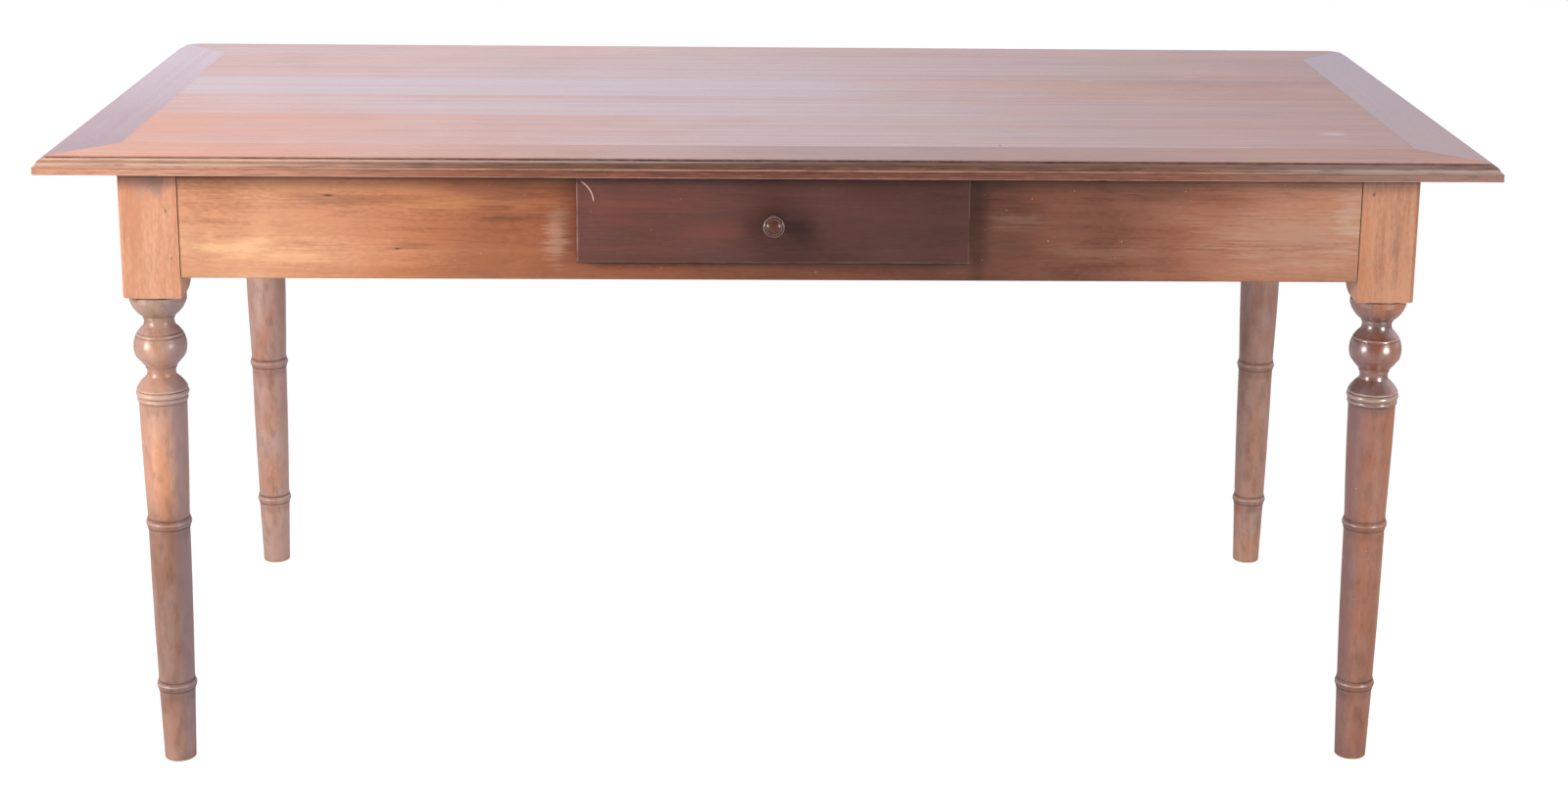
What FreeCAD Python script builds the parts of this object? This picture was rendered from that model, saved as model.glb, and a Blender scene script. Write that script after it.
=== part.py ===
import FreeCAD, Part
import math
import os
import Sketcher

# A farmhouse kitchen table: a framed board top with a moulded edge, four turned legs
# tenoned and pegged to four aprons, and one drawer with a lipped front in the long apron.
# Millimetres. The origin is on the floor under the middle of the table, +Z is up,
# +X runs along the length and the drawer opens towards -Y.

DRIVING_SIZES = {
    # The whole table
    "table_height": (759, "floor to the surface of the top"),
    "top_length": (1684, "length of the top over its moulding"),
    "top_depth": (850, "depth of the top over its moulding"),
    "top_thickness": (20.5, "thickness of the rails and boards of the top"),
    "end_overhang": (87, "how far the top stands out past the blocks at the ends"),
    "long_overhang": (34, "how far the top stands out past the blocks in front and behind"),
    # The mitred frame of the top
    "long_rail_inside": (33, "how far the front and back rails reach in past the aprons"),
    "end_rail_width": (82, "width of the end rails of the top"),
    "back_corner_radius": (35, "rounding of the two back corners, in plan"),
    "fillet_height": (9, "flat lower band of the moulded edge"),
    "fillet_ledge": (3, "ledge above the lower band"),
    "ovolo_width": (9, "reach of the quarter round"),
    "ovolo_height": (9, "rise of the quarter round"),
    "landing_width": (1.5, "flat between the quarter round and the top quirk"),
    "spline_length": (60, "loose tongue of a mitre, along the joint"),
    "spline_width": (30, "loose tongue of a mitre, across the joint"),
    "spline_thickness": (6, "loose tongue of a mitre, upright"),
    "spline_gap": (0.3, "room round a loose tongue"),
    # The boards of the top
    "inner_board_width": (138, "face width of each of the two inner boards"),
    "tongue_level": (6, "underside of the boards' tongues, above the top's underside"),
    "tongue_thickness": (8, "thickness of the boards' tongues"),
    "tongue_length": (8, "reach of the boards' tongues"),
    "tongue_gap": (0.5, "room in front of a tongue in its groove"),
    # The legs
    "leg_square": (68, "side of a leg's square block"),
    "block_length": (152.5, "height of a leg's square block"),
    "block_ease": (5, "bevel down a block's outward corner"),
    "shoulder_height": (20, "rounding of a block's inward corner above the turning"),
    "shoulder_hollow": (2.2, "hollowness of that rounding"),
    "quirk_height": (2.5, "narrow neck right under the block"),
    "quirk_depth": (1.8, "how far that neck is set in from the cup"),
    "cup_radius": (33.2, "widest radius of the cup"),
    "cup_rim_height": (6, "upright rim of the cup"),
    "cup_height": (19.5, "rounded part of the cup"),
    "cup_bulge": (2.2, "roundness of the cup"),
    "neck_band_height": (2.2, "flat band under the cup"),
    "neck_band_radius": (18.9, "radius of that band"),
    "upper_neck_height": (10, "hollow neck above the ball"),
    "neck_hollow": (0.9, "depth of the two hollow necks"),
    "ball_radius": (31.1, "radius of the ball"),
    "ball_half_height": (24.5, "from the ball's middle to where it is cut off"),
    "cord_level": (12.5, "raised cord, above the ball's middle"),
    "cord_height": (4.2, "height of the raised cord"),
    "cord_sink": (0.9, "depth of the lines beside the cord"),
    "cord_bulge": (1.0, "roundness of the cord"),
    "ball_skirt_level": (11, "where the ball turns into a straighter skirt, under its middle"),
    "ball_skirt_bulge": (0.3, "roundness of that skirt"),
    "ball_foot_radius": (17.9, "foot of the skirt"),
    "ball_band_height": (2, "flat band under the ball"),
    "ball_band_radius": (18.4, "radius of that band"),
    "lower_neck_height": (10, "hollow neck under the ball"),
    "lower_neck_radius": (17.6, "radius where the lower neck meets the flare"),
    "flare_height": (14.5, "cone under the lower neck"),
    "flare_bulge": (1.2, "roundness of that cone"),
    "collar_edge_radius": (29.8, "sharp edge at the foot of the cone"),
    "collar_edge_height": (1.8, "height of that edge"),
    "collar_line_depth": (1.2, "depth of the line under the edge"),
    "upper_bead_height": (8, "upper bead of the collar"),
    "upper_bead_bulge": (2.4, "roundness of the upper bead"),
    "lower_bead_height": (7, "lower bead of the collar"),
    "lower_bead_bulge": (1.4, "roundness of the lower bead"),
    "shaft_top_radius": (28.1, "shaft under the collar"),
    "shaft_waist_radius": (24.5, "shaft at the middle ring"),
    "shaft_ankle_radius": (21.5, "shaft at the lower ring"),
    "shaft_swell": (0.5, "slight fullness of the shaft between its rings"),
    "middle_ring_level": (303, "middle ring above the floor"),
    "lower_ring_level": (96, "lower ring above the floor"),
    "ring_band_height": (2.2, "flat band above and below a ring"),
    "ring_band_step": (0.8, "how far those bands stand out from the shaft"),
    "ring_bead_height": (9, "height of a ring's bead"),
    "ring_bead_bulge": (1.7, "roundness of a ring's bead"),
    "foot_radius": (18.8, "radius near the floor"),
    "foot_ease": (1, "small bevel round the foot"),
    # The aprons and their joints
    "apron_height": (128, "height of the aprons"),
    "apron_thickness": (24, "thickness of the aprons"),
    "apron_setback": (1, "how far the aprons lie behind the faces of the blocks"),
    "apron_ease": (1.5, "bevel along an apron's lower outer edge"),
    "shoulder_gap": (1, "shrinkage gap between an apron's shoulder and the block"),
    "tenon_thickness": (9, "thickness of the apron tenons"),
    "tenon_setback": (7.5, "from an apron's face to its tenon"),
    "tenon_length": (30, "length of the apron tenons"),
    "tenon_foot": (12, "shoulder under a tenon"),
    "tenon_head": (26, "shoulder above a tenon"),
    "mortise_gap": (1, "room at the bottom of a mortise"),
    "peg_radius": (4.5, "radius of the draw pegs"),
    "peg_length": (30, "length of the draw pegs"),
    "peg_inset": (12, "from a joint's shoulder to its pegs"),
    "peg_low_level": (24.5, "lower peg above the apron's bottom edge"),
    "peg_high_drop": (43.5, "upper peg below the underside of the top"),
    "peg_gap": (0.05, "room round a peg"),
    # The wooden buttons that hold the top down, and their screws
    "button_groove_drop": (12, "wood left above the button groove"),
    "button_groove_height": (8, "height of the button groove"),
    "button_groove_depth": (8, "depth of the button groove"),
    "button_length": (32, "button, from the apron inwards"),
    "button_width": (26, "button, along the apron"),
    "button_gap": (0.5, "room at the tip and foot of a button's tongue"),
    "long_button_inner": (300, "inner buttons of the long aprons, from the middle"),
    "long_button_outer": (127, "outer buttons of the long aprons, from the blocks"),
    "end_button_place": (200, "buttons of the end aprons, from the middle"),
    "screw_radius": (2, "shank of the wood screws"),
    "screw_length": (30, "length of the wood screws"),
    "screw_head_radius": (4, "countersunk head of the wood screws"),
    "screw_head_height": (2.4, "depth of that head"),
    "screw_slot_width": (0.9, "slot in the head"),
    "screw_slot_depth": (1, "depth of the slot"),
    "screw_gap": (0.1, "room round a screw"),
    # The drawer and what carries it
    "drawer_front_width": (454, "lipped drawer front, width"),
    "drawer_front_height": (100.5, "lipped drawer front, height"),
    "drawer_front_headroom": (3, "from the drawer front up to the top"),
    "drawer_lip": (12, "how far the front laps over the opening"),
    "drawer_lip_thickness": (16, "thickness of the part that shows"),
    "drawer_rebate_thickness": (12, "thickness of the part inside the opening"),
    "drawer_front_ease": (1.2, "bevel round the face of the drawer front"),
    "drawer_side_gap": (1.5, "room between the drawer and the opening, each side"),
    "drawer_stop_gap": (0.3, "room behind the lip when the drawer is shut"),
    "drawer_length": (450, "length of the drawer's sides"),
    "drawer_wood": (12, "thickness of the drawer's sides and back"),
    "drawer_groove_level": (8, "groove of the drawer's bottom above the lower edge"),
    "drawer_groove_depth": (5, "depth of that groove"),
    "drawer_bottom_thickness": (8, "thickness of the drawer's bottom"),
    "drawer_bottom_gap": (0.5, "room at the edges of the bottom in its grooves"),
    "dovetail_slope": (2.5, "how much a tail widens towards its end, each side"),
    "dovetail_pin": (6, "half of the pin between two tails, at the shoulder"),
    "runner_rise": (1, "runner above the floor of the opening"),
    "runner_thickness": (22, "height of the runner under the drawer's side"),
    "runner_bearing": (18, "width of the runner under the drawer's side"),
    "guide_width": (14, "width of the guide beside the drawer"),
    "guide_height": (20, "height of the guide above the runner"),
    "guide_gap": (1, "room between the guide and the drawer's side"),
    "slide_gap": (0.3, "room between the drawer and its runners"),
    "housing_depth": (6, "depth of the housings for the runners' ends"),
    "housing_height": (16, "height of the runners' ends in their housings"),
    "kicker_height": (16, "height of the kickers under the top"),
    "kicker_width": (24, "width of the kickers"),
    "kicker_gap": (1.5, "room between the drawer's sides and the kickers"),
    # The knob
    "knob_drop": (2.5, "knob below the middle of the drawer front"),
    "knob_spigot_radius": (5, "spigot in the drawer front"),
    "knob_spigot_gap": (0.05, "room round the spigot"),
    "knob_spigot_length": (25, "length of the spigot"),
    "knob_base_radius": (9, "foot of the knob on the drawer front"),
    "knob_base_height": (2, "height of that foot"),
    "knob_base_hollow": (0.8, "hollow between the foot and the narrowest part"),
    "knob_neck_radius": (6, "narrowest part of the knob"),
    "knob_neck_level": (7, "narrowest part, from the drawer front"),
    "knob_neck_hollow": (1.6, "hollow between the narrowest and the widest part"),
    "knob_head_radius": (12.3, "widest part of the knob"),
    "knob_head_level": (20, "widest part, from the drawer front"),
    "knob_head_bulge": (0.9, "roundness from the widest part to the face"),
    "knob_face_radius": (10.6, "edge of the knob's face"),
    "knob_face_level": (24, "edge of the face, from the drawer front"),
    "knob_dish_radius": (8.6, "inner edge of the raised rim"),
    "knob_dish_depth": (1, "how far the middle is turned down behind the rim"),
    "knob_dome_height": (2.6, "rise of the knob's middle out of that dish"),
}


class Size:
    """A length: its present value, and the expression that ties it to the sheet."""

    def __init__(self, text, value):
        self.text = text
        self.value = value

    def __add__(self, other):
        other = as_size(other)
        return Size(f"({self.text} + {other.text})", self.value + other.value)

    def __sub__(self, other):
        other = as_size(other)
        return Size(f"({self.text} - {other.text})", self.value - other.value)

    def __mul__(self, other):
        other = as_size(other)
        return Size(f"({self.text} * {other.text})", self.value * other.value)

    def __truediv__(self, other):
        other = as_size(other)
        return Size(f"({self.text} / {other.text})", self.value / other.value)

    def __neg__(self):
        return Size(f"(0 - {self.text})", -self.value)

    def root(self):
        """The square root."""
        return Size(f"sqrt({self.text})", math.sqrt(self.value))


def as_size(number):
    """A plain number as a Size that depends on nothing."""
    if isinstance(number, Size):
        return number
    return Size(f"({number})", number)


class SizeTable:
    """The driving sizes by name, each one bound to its cell."""


doc = FreeCAD.newDocument("KitchenTable")
sheet = doc.addObject("Spreadsheet::Sheet", "dims")
size = SizeTable()
for row, (alias, (millimetres, note)) in enumerate(DRIVING_SIZES.items(), start=1):
    sheet.set(f"A{row}", note)
    sheet.set(f"B{row}", str(millimetres))
    sheet.setAlias(f"B{row}", alias)
    setattr(size, alias, Size(f"dims.{alias}", millimetres))
doc.recompute()

ZERO = as_size(0)
OVERCUT = as_size(2)
WEDGE_OVERRUN = 0.1
SAME_PLACE = 1e-4
QUARTER_TURN = 90
HALF_TURN = 180

# Levels and places that several pieces share.
base_length = size.top_length - size.end_overhang * 2
base_depth = size.top_depth - size.long_overhang * 2
long_rail_width = (size.long_overhang + size.apron_setback + size.apron_thickness
                   + size.long_rail_inside)
top_underside = size.table_height - size.top_thickness
block_bottom = top_underside - size.block_length
apron_bottom = top_underside - size.apron_height
half_block = size.leg_square / 2
leg_x = base_length / 2 - half_block
leg_y = base_depth / 2 - half_block
apron_face_x = base_length / 2 - size.apron_setback
apron_face_y = base_depth / 2 - size.apron_setback
long_apron_length = base_length - (size.leg_square + size.shoulder_gap) * 2
end_apron_length = base_depth - (size.leg_square + size.shoulder_gap) * 2
apron_inside_x = apron_face_x - size.apron_thickness
apron_inside_y = apron_face_y - size.apron_thickness
inner_length = size.top_length - size.end_rail_width * 2
inner_depth = size.top_depth - long_rail_width * 2
moulding_width = size.fillet_ledge + size.ovolo_width + size.landing_width
outer_board_width = inner_depth / 2 - size.inner_board_width
outer_board_middle = inner_depth / 2 - outer_board_width / 2
inner_board_middle = size.inner_board_width / 2

# The drawer's opening, box and lipped front.
drawer_front_top = top_underside - size.drawer_front_headroom
drawer_front_bottom = drawer_front_top - size.drawer_front_height
opening_floor = drawer_front_bottom + size.drawer_lip
opening_half_width = size.drawer_front_width / 2 - size.drawer_lip
drawer_half_width = opening_half_width - size.drawer_side_gap
runner_top = opening_floor + size.runner_rise
drawer_box_bottom = runner_top + size.slide_gap
kicker_bottom = top_underside - size.kicker_height
drawer_box_top = kicker_bottom - size.kicker_gap
drawer_box_height = drawer_box_top - drawer_box_bottom
lip_back_y = -apron_face_y - size.drawer_stop_gap
drawer_face_y = lip_back_y - size.drawer_lip_thickness
rebate_back_y = lip_back_y + size.drawer_rebate_thickness
drawer_back_y = lip_back_y + size.drawer_length
knob_level = (drawer_front_top + drawer_front_bottom) / 2 - size.knob_drop
guide_inner_x = drawer_half_width + size.guide_gap
runner_inner_x = guide_inner_x - size.runner_bearing
runner_outer_x = guide_inner_x + size.guide_width
kicker_middle_x = drawer_half_width - size.drawer_wood / 2

# The buttons reach from the apron's groove to the underside of the top.
button_groove_roof = top_underside - size.button_groove_drop
button_groove_floor = button_groove_roof - size.button_groove_height
button_bottom = button_groove_floor + size.button_gap
button_screw_reach = size.button_length / 2
long_button_far = base_length / 2 - size.leg_square - size.long_button_outer


def origin_plane(body, role):
    """One of a body's own origin planes."""
    for feature in body.Origin.OriginFeatures:
        if feature.Role == role:
            return feature
    raise ValueError(role)


def new_body(name):
    """An empty piece of the table."""
    body = doc.addObject("PartDesign::Body", name)
    body.Label = name
    return body


def place(item, x=ZERO, y=ZERO, z=ZERO, turn=0, axis=(0, 0, 1)):
    """Puts a piece where it belongs in the table."""
    item.Placement = FreeCAD.Placement(
        FreeCAD.Vector(x.value, y.value, z.value),
        FreeCAD.Rotation(FreeCAD.Vector(*axis), turn))
    item.setExpression("Placement.Base.x", x.text)
    item.setExpression("Placement.Base.y", y.text)
    item.setExpression("Placement.Base.z", z.text)


def new_sketch(body, name, role, right=ZERO, up=ZERO, forward=ZERO):
    """A sketch on one of the body's origin planes, moved along the plane's own axes."""
    sketch = body.newObject("Sketcher::SketchObject", name)
    sketch.AttachmentSupport = (origin_plane(body, role), [""])
    sketch.MapMode = "FlatFace"
    sketch.setExpression("AttachmentOffset.Base.x", right.text)
    sketch.setExpression("AttachmentOffset.Base.y", up.text)
    sketch.setExpression("AttachmentOffset.Base.z", forward.text)
    return sketch


class Bulge:
    """A side bent into an arc, by its rise over the straight line between its ends.

    On a positive side the arc lies to the right of the way the outline runs."""

    def __init__(self, rise, side=1):
        self.rise = rise
        self.side = side

    def radius(self, chord_squared):
        return (chord_squared / 4 + self.rise * self.rise) / (self.rise * 2)


class Round:
    """A side bent into an arc of a given radius, less than half a circle."""

    def __init__(self, arc_radius, side=1):
        self.arc_radius = arc_radius
        self.side = side

    def radius(self, chord_squared):
        return self.arc_radius


def add_line(sketch, start, end):
    """Adds a straight side; gives its number and which of its ends is the start."""
    line = Part.LineSegment(
        FreeCAD.Vector(start[0].value, start[1].value, 0),
        FreeCAD.Vector(end[0].value, end[1].value, 0))
    return sketch.addGeometry(line, False), 1, 2


def add_arc(sketch, start, end, bend, radius):
    """Adds a bent side; gives its number and which of its ends is the start."""
    run_x = end[0].value - start[0].value
    run_y = end[1].value - start[1].value
    chord = math.hypot(run_x, run_y)
    depth = math.sqrt(max(radius.value ** 2 - chord ** 2 / 4, 0))
    centre_x = (start[0].value + end[0].value) / 2 - bend.side * depth * run_y / chord
    centre_y = (start[1].value + end[1].value) / 2 + bend.side * depth * run_x / chord
    angle_start = math.atan2(start[1].value - centre_y, start[0].value - centre_x)
    angle_end = math.atan2(end[1].value - centre_y, end[0].value - centre_x)
    circle = Part.Circle(
        FreeCAD.Vector(centre_x, centre_y, 0), FreeCAD.Vector(0, 0, 1), radius.value)
    if bend.side > 0:
        arc = Part.ArcOfCircle(circle, angle_start, angle_end)
        return sketch.addGeometry(arc, False), 1, 2
    arc = Part.ArcOfCircle(circle, angle_end, angle_start)
    return sketch.addGeometry(arc, False), 2, 1


def bind(sketch, kind, *places, length):
    """Adds one dimension to a sketch and ties it to the sheet."""
    index = sketch.addConstraint(Sketcher.Constraint(kind, *places, length.value))
    sketch.setExpression(f"Constraints[{index}]", length.text)


def draw_outline(sketch, corners):
    """A closed outline through (x, y) corners, where a third entry bends the next side."""
    sides = []
    radii = []
    for number, corner in enumerate(corners):
        following = corners[(number + 1) % len(corners)]
        if len(corner) == 2:
            sides.append(add_line(sketch, corner, following))
            radii.append(None)
            continue
        run_x = following[0] - corner[0]
        run_y = following[1] - corner[1]
        radius = corner[2].radius(run_x * run_x + run_y * run_y)
        sides.append(add_arc(sketch, corner, following, corner[2], radius))
        radii.append(radius)
    joints = []
    for number, (side, _, end) in enumerate(sides):
        next_side, next_start, _ = sides[(number + 1) % len(sides)]
        joints.append(Sketcher.Constraint("Coincident", side, end, next_side, next_start))
    sketch.addConstraint(joints)
    for (side, start, _), corner, radius in zip(sides, corners, radii):
        bind(sketch, "DistanceX", -1, 1, side, start, length=corner[0])
        bind(sketch, "DistanceY", -1, 1, side, start, length=corner[1])
        if radius is not None:
            bind(sketch, "Radius", side, length=radius)


def draw_rectangle(sketch, left, bottom, right, top):
    """A rectangle between two corners."""
    draw_outline(sketch, [(left, bottom), (right, bottom), (right, top), (left, top)])


def draw_circle(sketch, x, y, radius):
    """A circle by its centre."""
    circle = Part.Circle(
        FreeCAD.Vector(x.value, y.value, 0), FreeCAD.Vector(0, 0, 1), radius.value)
    number = sketch.addGeometry(circle, False)
    bind(sketch, "DistanceX", -1, 1, number, 3, length=x)
    bind(sketch, "DistanceY", -1, 1, number, 3, length=y)
    bind(sketch, "Radius", number, length=radius)


def add_feature(kind, body, sketch, length, symmetric=False, backwards=False):
    """A pad or a pocket of a sketch. Wood has to be added or taken away by it."""
    doc.recompute()
    before = 0.0
    if not body.Shape.isNull():
        before = body.Shape.Volume
    feature = body.newObject(f"PartDesign::{kind}", f"{sketch.Name}{kind}")
    feature.Profile = sketch
    feature.setExpression("Length", length.text)
    if symmetric:
        feature.SideType = "Symmetric"
    feature.Reversed = backwards
    doc.recompute()
    changed = body.Shape.Volume - before
    if kind == "Pad" and changed <= 0 or kind == "Pocket" and changed >= 0:
        raise RuntimeError(f"{feature.Name} of {body.Label} changes nothing")
    return feature


def pad(body, sketch, length, **options):
    return add_feature("Pad", body, sketch, length, **options)


def pocket(body, sketch, length, **options):
    return add_feature("Pocket", body, sketch, length, **options)


def box_feature(kind, body, name, low, high):
    """Adds or cuts a box between two corners, with its sketch on the floor of the box."""
    sketch = new_sketch(body, name, "XY_Plane", forward=low[2])
    draw_rectangle(sketch, low[0], low[1], high[0], high[1])
    return add_feature(kind, body, sketch, high[2] - low[2], backwards=(kind == "Pocket"))


# ---------------------------------------------------------------- the top's frame

def moulding_section(edge, inward):
    """The wood that is planed off an edge, as an outline in (place across, height).

    edge is where the untouched face stands, and inward is +1 where the wood lies on the
    rising side of it and -1 where it lies on the falling side."""
    def across(inset):
        return edge + inset * inward

    band = size.fillet_height
    shelf = band + size.ovolo_height
    chord_rise = (size.ovolo_width * size.ovolo_width
                  + size.ovolo_height * size.ovolo_height).root() * (math.sqrt(2) - 1) / 2
    outside = -OVERCUT
    above = size.top_thickness + OVERCUT
    return [
        (across(outside), band),
        (across(size.fillet_ledge), band, Bulge(chord_rise, -inward)),
        (across(size.fillet_ledge + size.ovolo_width), shelf),
        (across(moulding_width), shelf),
        (across(moulding_width), above),
        (across(outside), above),
    ]


def mitre_slot(side_x, side_y, gap):
    """The plan of a mitre's loose tongue, or of its slot with a gap round it."""
    run = (size.end_rail_width * size.end_rail_width
           + long_rail_width * long_rail_width).root()
    along_x = size.end_rail_width / run * -side_x
    along_y = long_rail_width / run * -side_y
    middle_x = (size.top_length / 2 - size.end_rail_width / 2) * side_x
    middle_y = (size.top_depth / 2 - long_rail_width / 2) * side_y
    half_length = size.spline_length / 2 + gap
    half_width = size.spline_width / 2 + gap
    corners = []
    for end, flank in ((-1, -1), (1, -1), (1, 1), (-1, 1)):
        corners.append((
            middle_x + along_x * half_length * end - along_y * half_width * flank,
            middle_y + along_y * half_length * end + along_x * half_width * flank))
    return corners


def top_frame_blank():
    """The whole frame before its four mitres are cut."""
    body = new_body("top_frame_blank")
    half_length = size.top_length / 2
    half_depth = size.top_depth / 2
    rounding = size.back_corner_radius
    plan = new_sketch(body, "FramePlan", "XY_Plane")
    draw_outline(plan, [
        (-half_length, -half_depth),
        (half_length, -half_depth),
        (half_length, half_depth - rounding, Round(rounding)),
        (half_length - rounding, half_depth),
        (rounding - half_length, half_depth, Round(rounding)),
        (-half_length, half_depth - rounding),
    ])
    draw_rectangle(plan, -inner_length / 2, -inner_depth / 2, inner_length / 2, inner_depth / 2)
    pad(body, plan, size.top_thickness)

    reach = size.tongue_length + size.tongue_gap
    groove = new_sketch(body, "FrameGroove", "XY_Plane", forward=size.tongue_level)
    draw_rectangle(groove, -inner_length / 2 - reach, -inner_depth / 2 - reach,
                   inner_length / 2 + reach, inner_depth / 2 + reach)
    pocket(body, groove, size.tongue_thickness, backwards=True)

    front = new_sketch(body, "FrontMoulding", "YZ_Plane")
    draw_outline(front, moulding_section(-half_depth, 1))
    pocket(body, front, size.top_length + OVERCUT, symmetric=True)
    back = new_sketch(body, "BackMoulding", "YZ_Plane")
    draw_outline(back, moulding_section(half_depth, -1))
    pocket(body, back, size.top_length - rounding * 2, symmetric=True)
    ends = new_sketch(body, "EndMoulding", "XZ_Plane", forward=rounding - half_depth)
    draw_outline(ends, moulding_section(-half_length, 1))
    draw_outline(ends, moulding_section(half_length, -1))
    pocket(body, ends, size.top_depth - rounding + OVERCUT, backwards=True)

    for side, name in ((-1, "BackLeftMoulding"), (1, "BackRightMoulding")):
        corner = new_sketch(body, name, "XZ_Plane",
                            right=(half_length - rounding) * side,
                            forward=rounding - half_depth)
        draw_outline(corner, moulding_section(rounding * side, -side))
        before = body.Shape.Volume
        groove_cut = body.newObject("PartDesign::Groove", f"{name}Groove")
        groove_cut.Profile = corner
        groove_cut.ReferenceAxis = (corner, ["V_Axis"])
        groove_cut.Angle = QUARTER_TURN
        groove_cut.Reversed = side < 0
        doc.recompute()
        if body.Shape.Volume >= before:
            raise RuntimeError(f"{name} cuts nothing")

    slots = new_sketch(body, "MitreSlots", "XY_Plane", forward=spline_level())
    for side_x in (-1, 1):
        for side_y in (-1, 1):
            draw_outline(slots, mitre_slot(side_x, side_y, size.spline_gap))
    pocket(body, slots, size.spline_thickness, backwards=True)

    holes = [(place_x, place_y) for place_x, place_y, _ in long_button_places()]
    drill_underside(body, "FrameScrewHoles", holes, button_screw_depth())
    place(body, z=top_underside)
    return body


def spline_level():
    """Underside of the loose tongues, above the top's underside."""
    return (size.top_thickness - size.spline_thickness) / 2


def drill_underside(body, name, places, depth):
    """Blind holes for the wood screws, from the underside of the top."""
    holes = new_sketch(body, name, "XY_Plane")
    for place_x, place_y in places:
        draw_circle(holes, place_x, place_y, size.screw_radius + size.screw_gap)
    pocket(body, holes, depth, backwards=True)


def button_screw_depth():
    return button_bottom + size.screw_length - top_underside + size.screw_gap


def kicker_screw_depth():
    return size.screw_length - size.kicker_height + size.screw_gap


def top_rails():
    """Four moulded rails, cut from the frame along its mitres."""
    blank = top_frame_blank()
    half_length = size.top_length / 2
    half_depth = size.top_depth / 2
    # Past the corners each wedge follows the line of the mitre.
    over_x = half_length + size.end_rail_width * WEDGE_OVERRUN
    over_y = half_depth + long_rail_width * WEDGE_OVERRUN
    in_x = inner_length / 2
    in_y = inner_depth / 2
    plans = {
        "top_rail_front": [(-over_x, -over_y), (over_x, -over_y), (in_x, -in_y), (-in_x, -in_y)],
        "top_rail_right": [(over_x, -over_y), (over_x, over_y), (in_x, in_y), (in_x, -in_y)],
        "top_rail_back": [(over_x, over_y), (-over_x, over_y), (-in_x, in_y), (in_x, in_y)],
        "top_rail_left": [(-over_x, over_y), (-over_x, -over_y), (-in_x, -in_y), (-in_x, in_y)],
    }
    rails = []
    for name, plan in plans.items():
        wedge = new_body(f"{name}_wedge")
        outline = new_sketch(wedge, f"{name}_plan", "XY_Plane")
        draw_outline(outline, plan)
        pad(wedge, outline, size.top_thickness)
        place(wedge, z=top_underside)
        rail = doc.addObject("Part::Common", name)
        rail.Label = name
        rail.Base = blank
        rail.Tool = wedge
        rails.append(rail)
    return rails


def mitre_splines():
    """The four loose tongues, one in each mitre."""
    tongues = []
    for side_x, side_y, name in ((-1, -1, "FrontLeft"), (1, -1, "FrontRight"),
                                 (1, 1, "BackRight"), (-1, 1, "BackLeft")):
        body = new_body(f"spline{name}")
        plan = new_sketch(body, f"spline{name}Plan", "XY_Plane")
        draw_outline(plan, mitre_slot(side_x, side_y, ZERO))
        pad(body, plan, size.spline_thickness)
        place(body, z=top_underside + spline_level())
        tongues.append(body)
    return group("mitre_splines", tongues)


def group(name, pieces):
    """Equal pieces that share one node."""
    compound = doc.addObject("Part::Compound", name)
    compound.Label = name
    compound.Links = pieces
    return compound


# ---------------------------------------------------------------- the top's boards

def top_board(name, front, back, back_tongue, screw_places):
    """One board: a tongue in front, and a groove or a tongue behind."""
    body = new_body(name)
    low = size.tongue_level
    high = low + size.tongue_thickness
    groove_depth = size.tongue_length + size.tongue_gap
    if back_tongue:
        back_edge = back + size.tongue_length
        end_tongue_back = back
    else:
        back_edge = back - groove_depth
        end_tongue_back = back - groove_depth
    section = new_sketch(body, f"{name}_section", "YZ_Plane")
    draw_outline(section, [
        (front, ZERO), (back, ZERO), (back, low), (back_edge, low), (back_edge, high), (back, high),
        (back, size.top_thickness), (front, size.top_thickness), (front, high),
        (front - size.tongue_length, high), (front - size.tongue_length, low), (front, low)])
    pad(body, section, inner_length, symmetric=True)
    tongue = new_sketch(body, f"{name}_end_tongue", "YZ_Plane")
    draw_rectangle(tongue, front, low, end_tongue_back, high)
    pad(body, tongue, inner_length + size.tongue_length * 2, symmetric=True)
    for number, (places, depth) in enumerate(screw_places):
        drill_underside(body, f"{name}_holes_{number}", places, depth)
    place(body, z=top_underside)
    return body


def top_boards():
    """Two wide boards outside and two narrower ones inside."""
    half_depth = inner_depth / 2
    edges = [-half_depth, -size.inner_board_width, ZERO, size.inner_board_width, half_depth]
    middles = [-outer_board_middle, -inner_board_middle, inner_board_middle, outer_board_middle]
    names = ("top_board_front", "top_board_inner_front", "top_board_inner_back", "top_board_back")
    end_screw_x = apron_inside_x - button_screw_reach
    boards = []
    for number, name in enumerate(names):
        kicker_holes = [(-kicker_middle_x, middles[number]), (kicker_middle_x, middles[number])]
        screw_places = [(kicker_holes, kicker_screw_depth())]
        is_outer = number in (0, 3)
        if is_outer:
            side = 1 if number else -1
            end_holes = [(-end_screw_x, size.end_button_place * side),
                         (end_screw_x, size.end_button_place * side)]
            screw_places.append((end_holes, button_screw_depth()))
        boards.append(top_board(name, edges[number], edges[number + 1],
                                name == "top_board_back", screw_places))
    return boards


# ---------------------------------------------------------------- the legs

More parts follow.
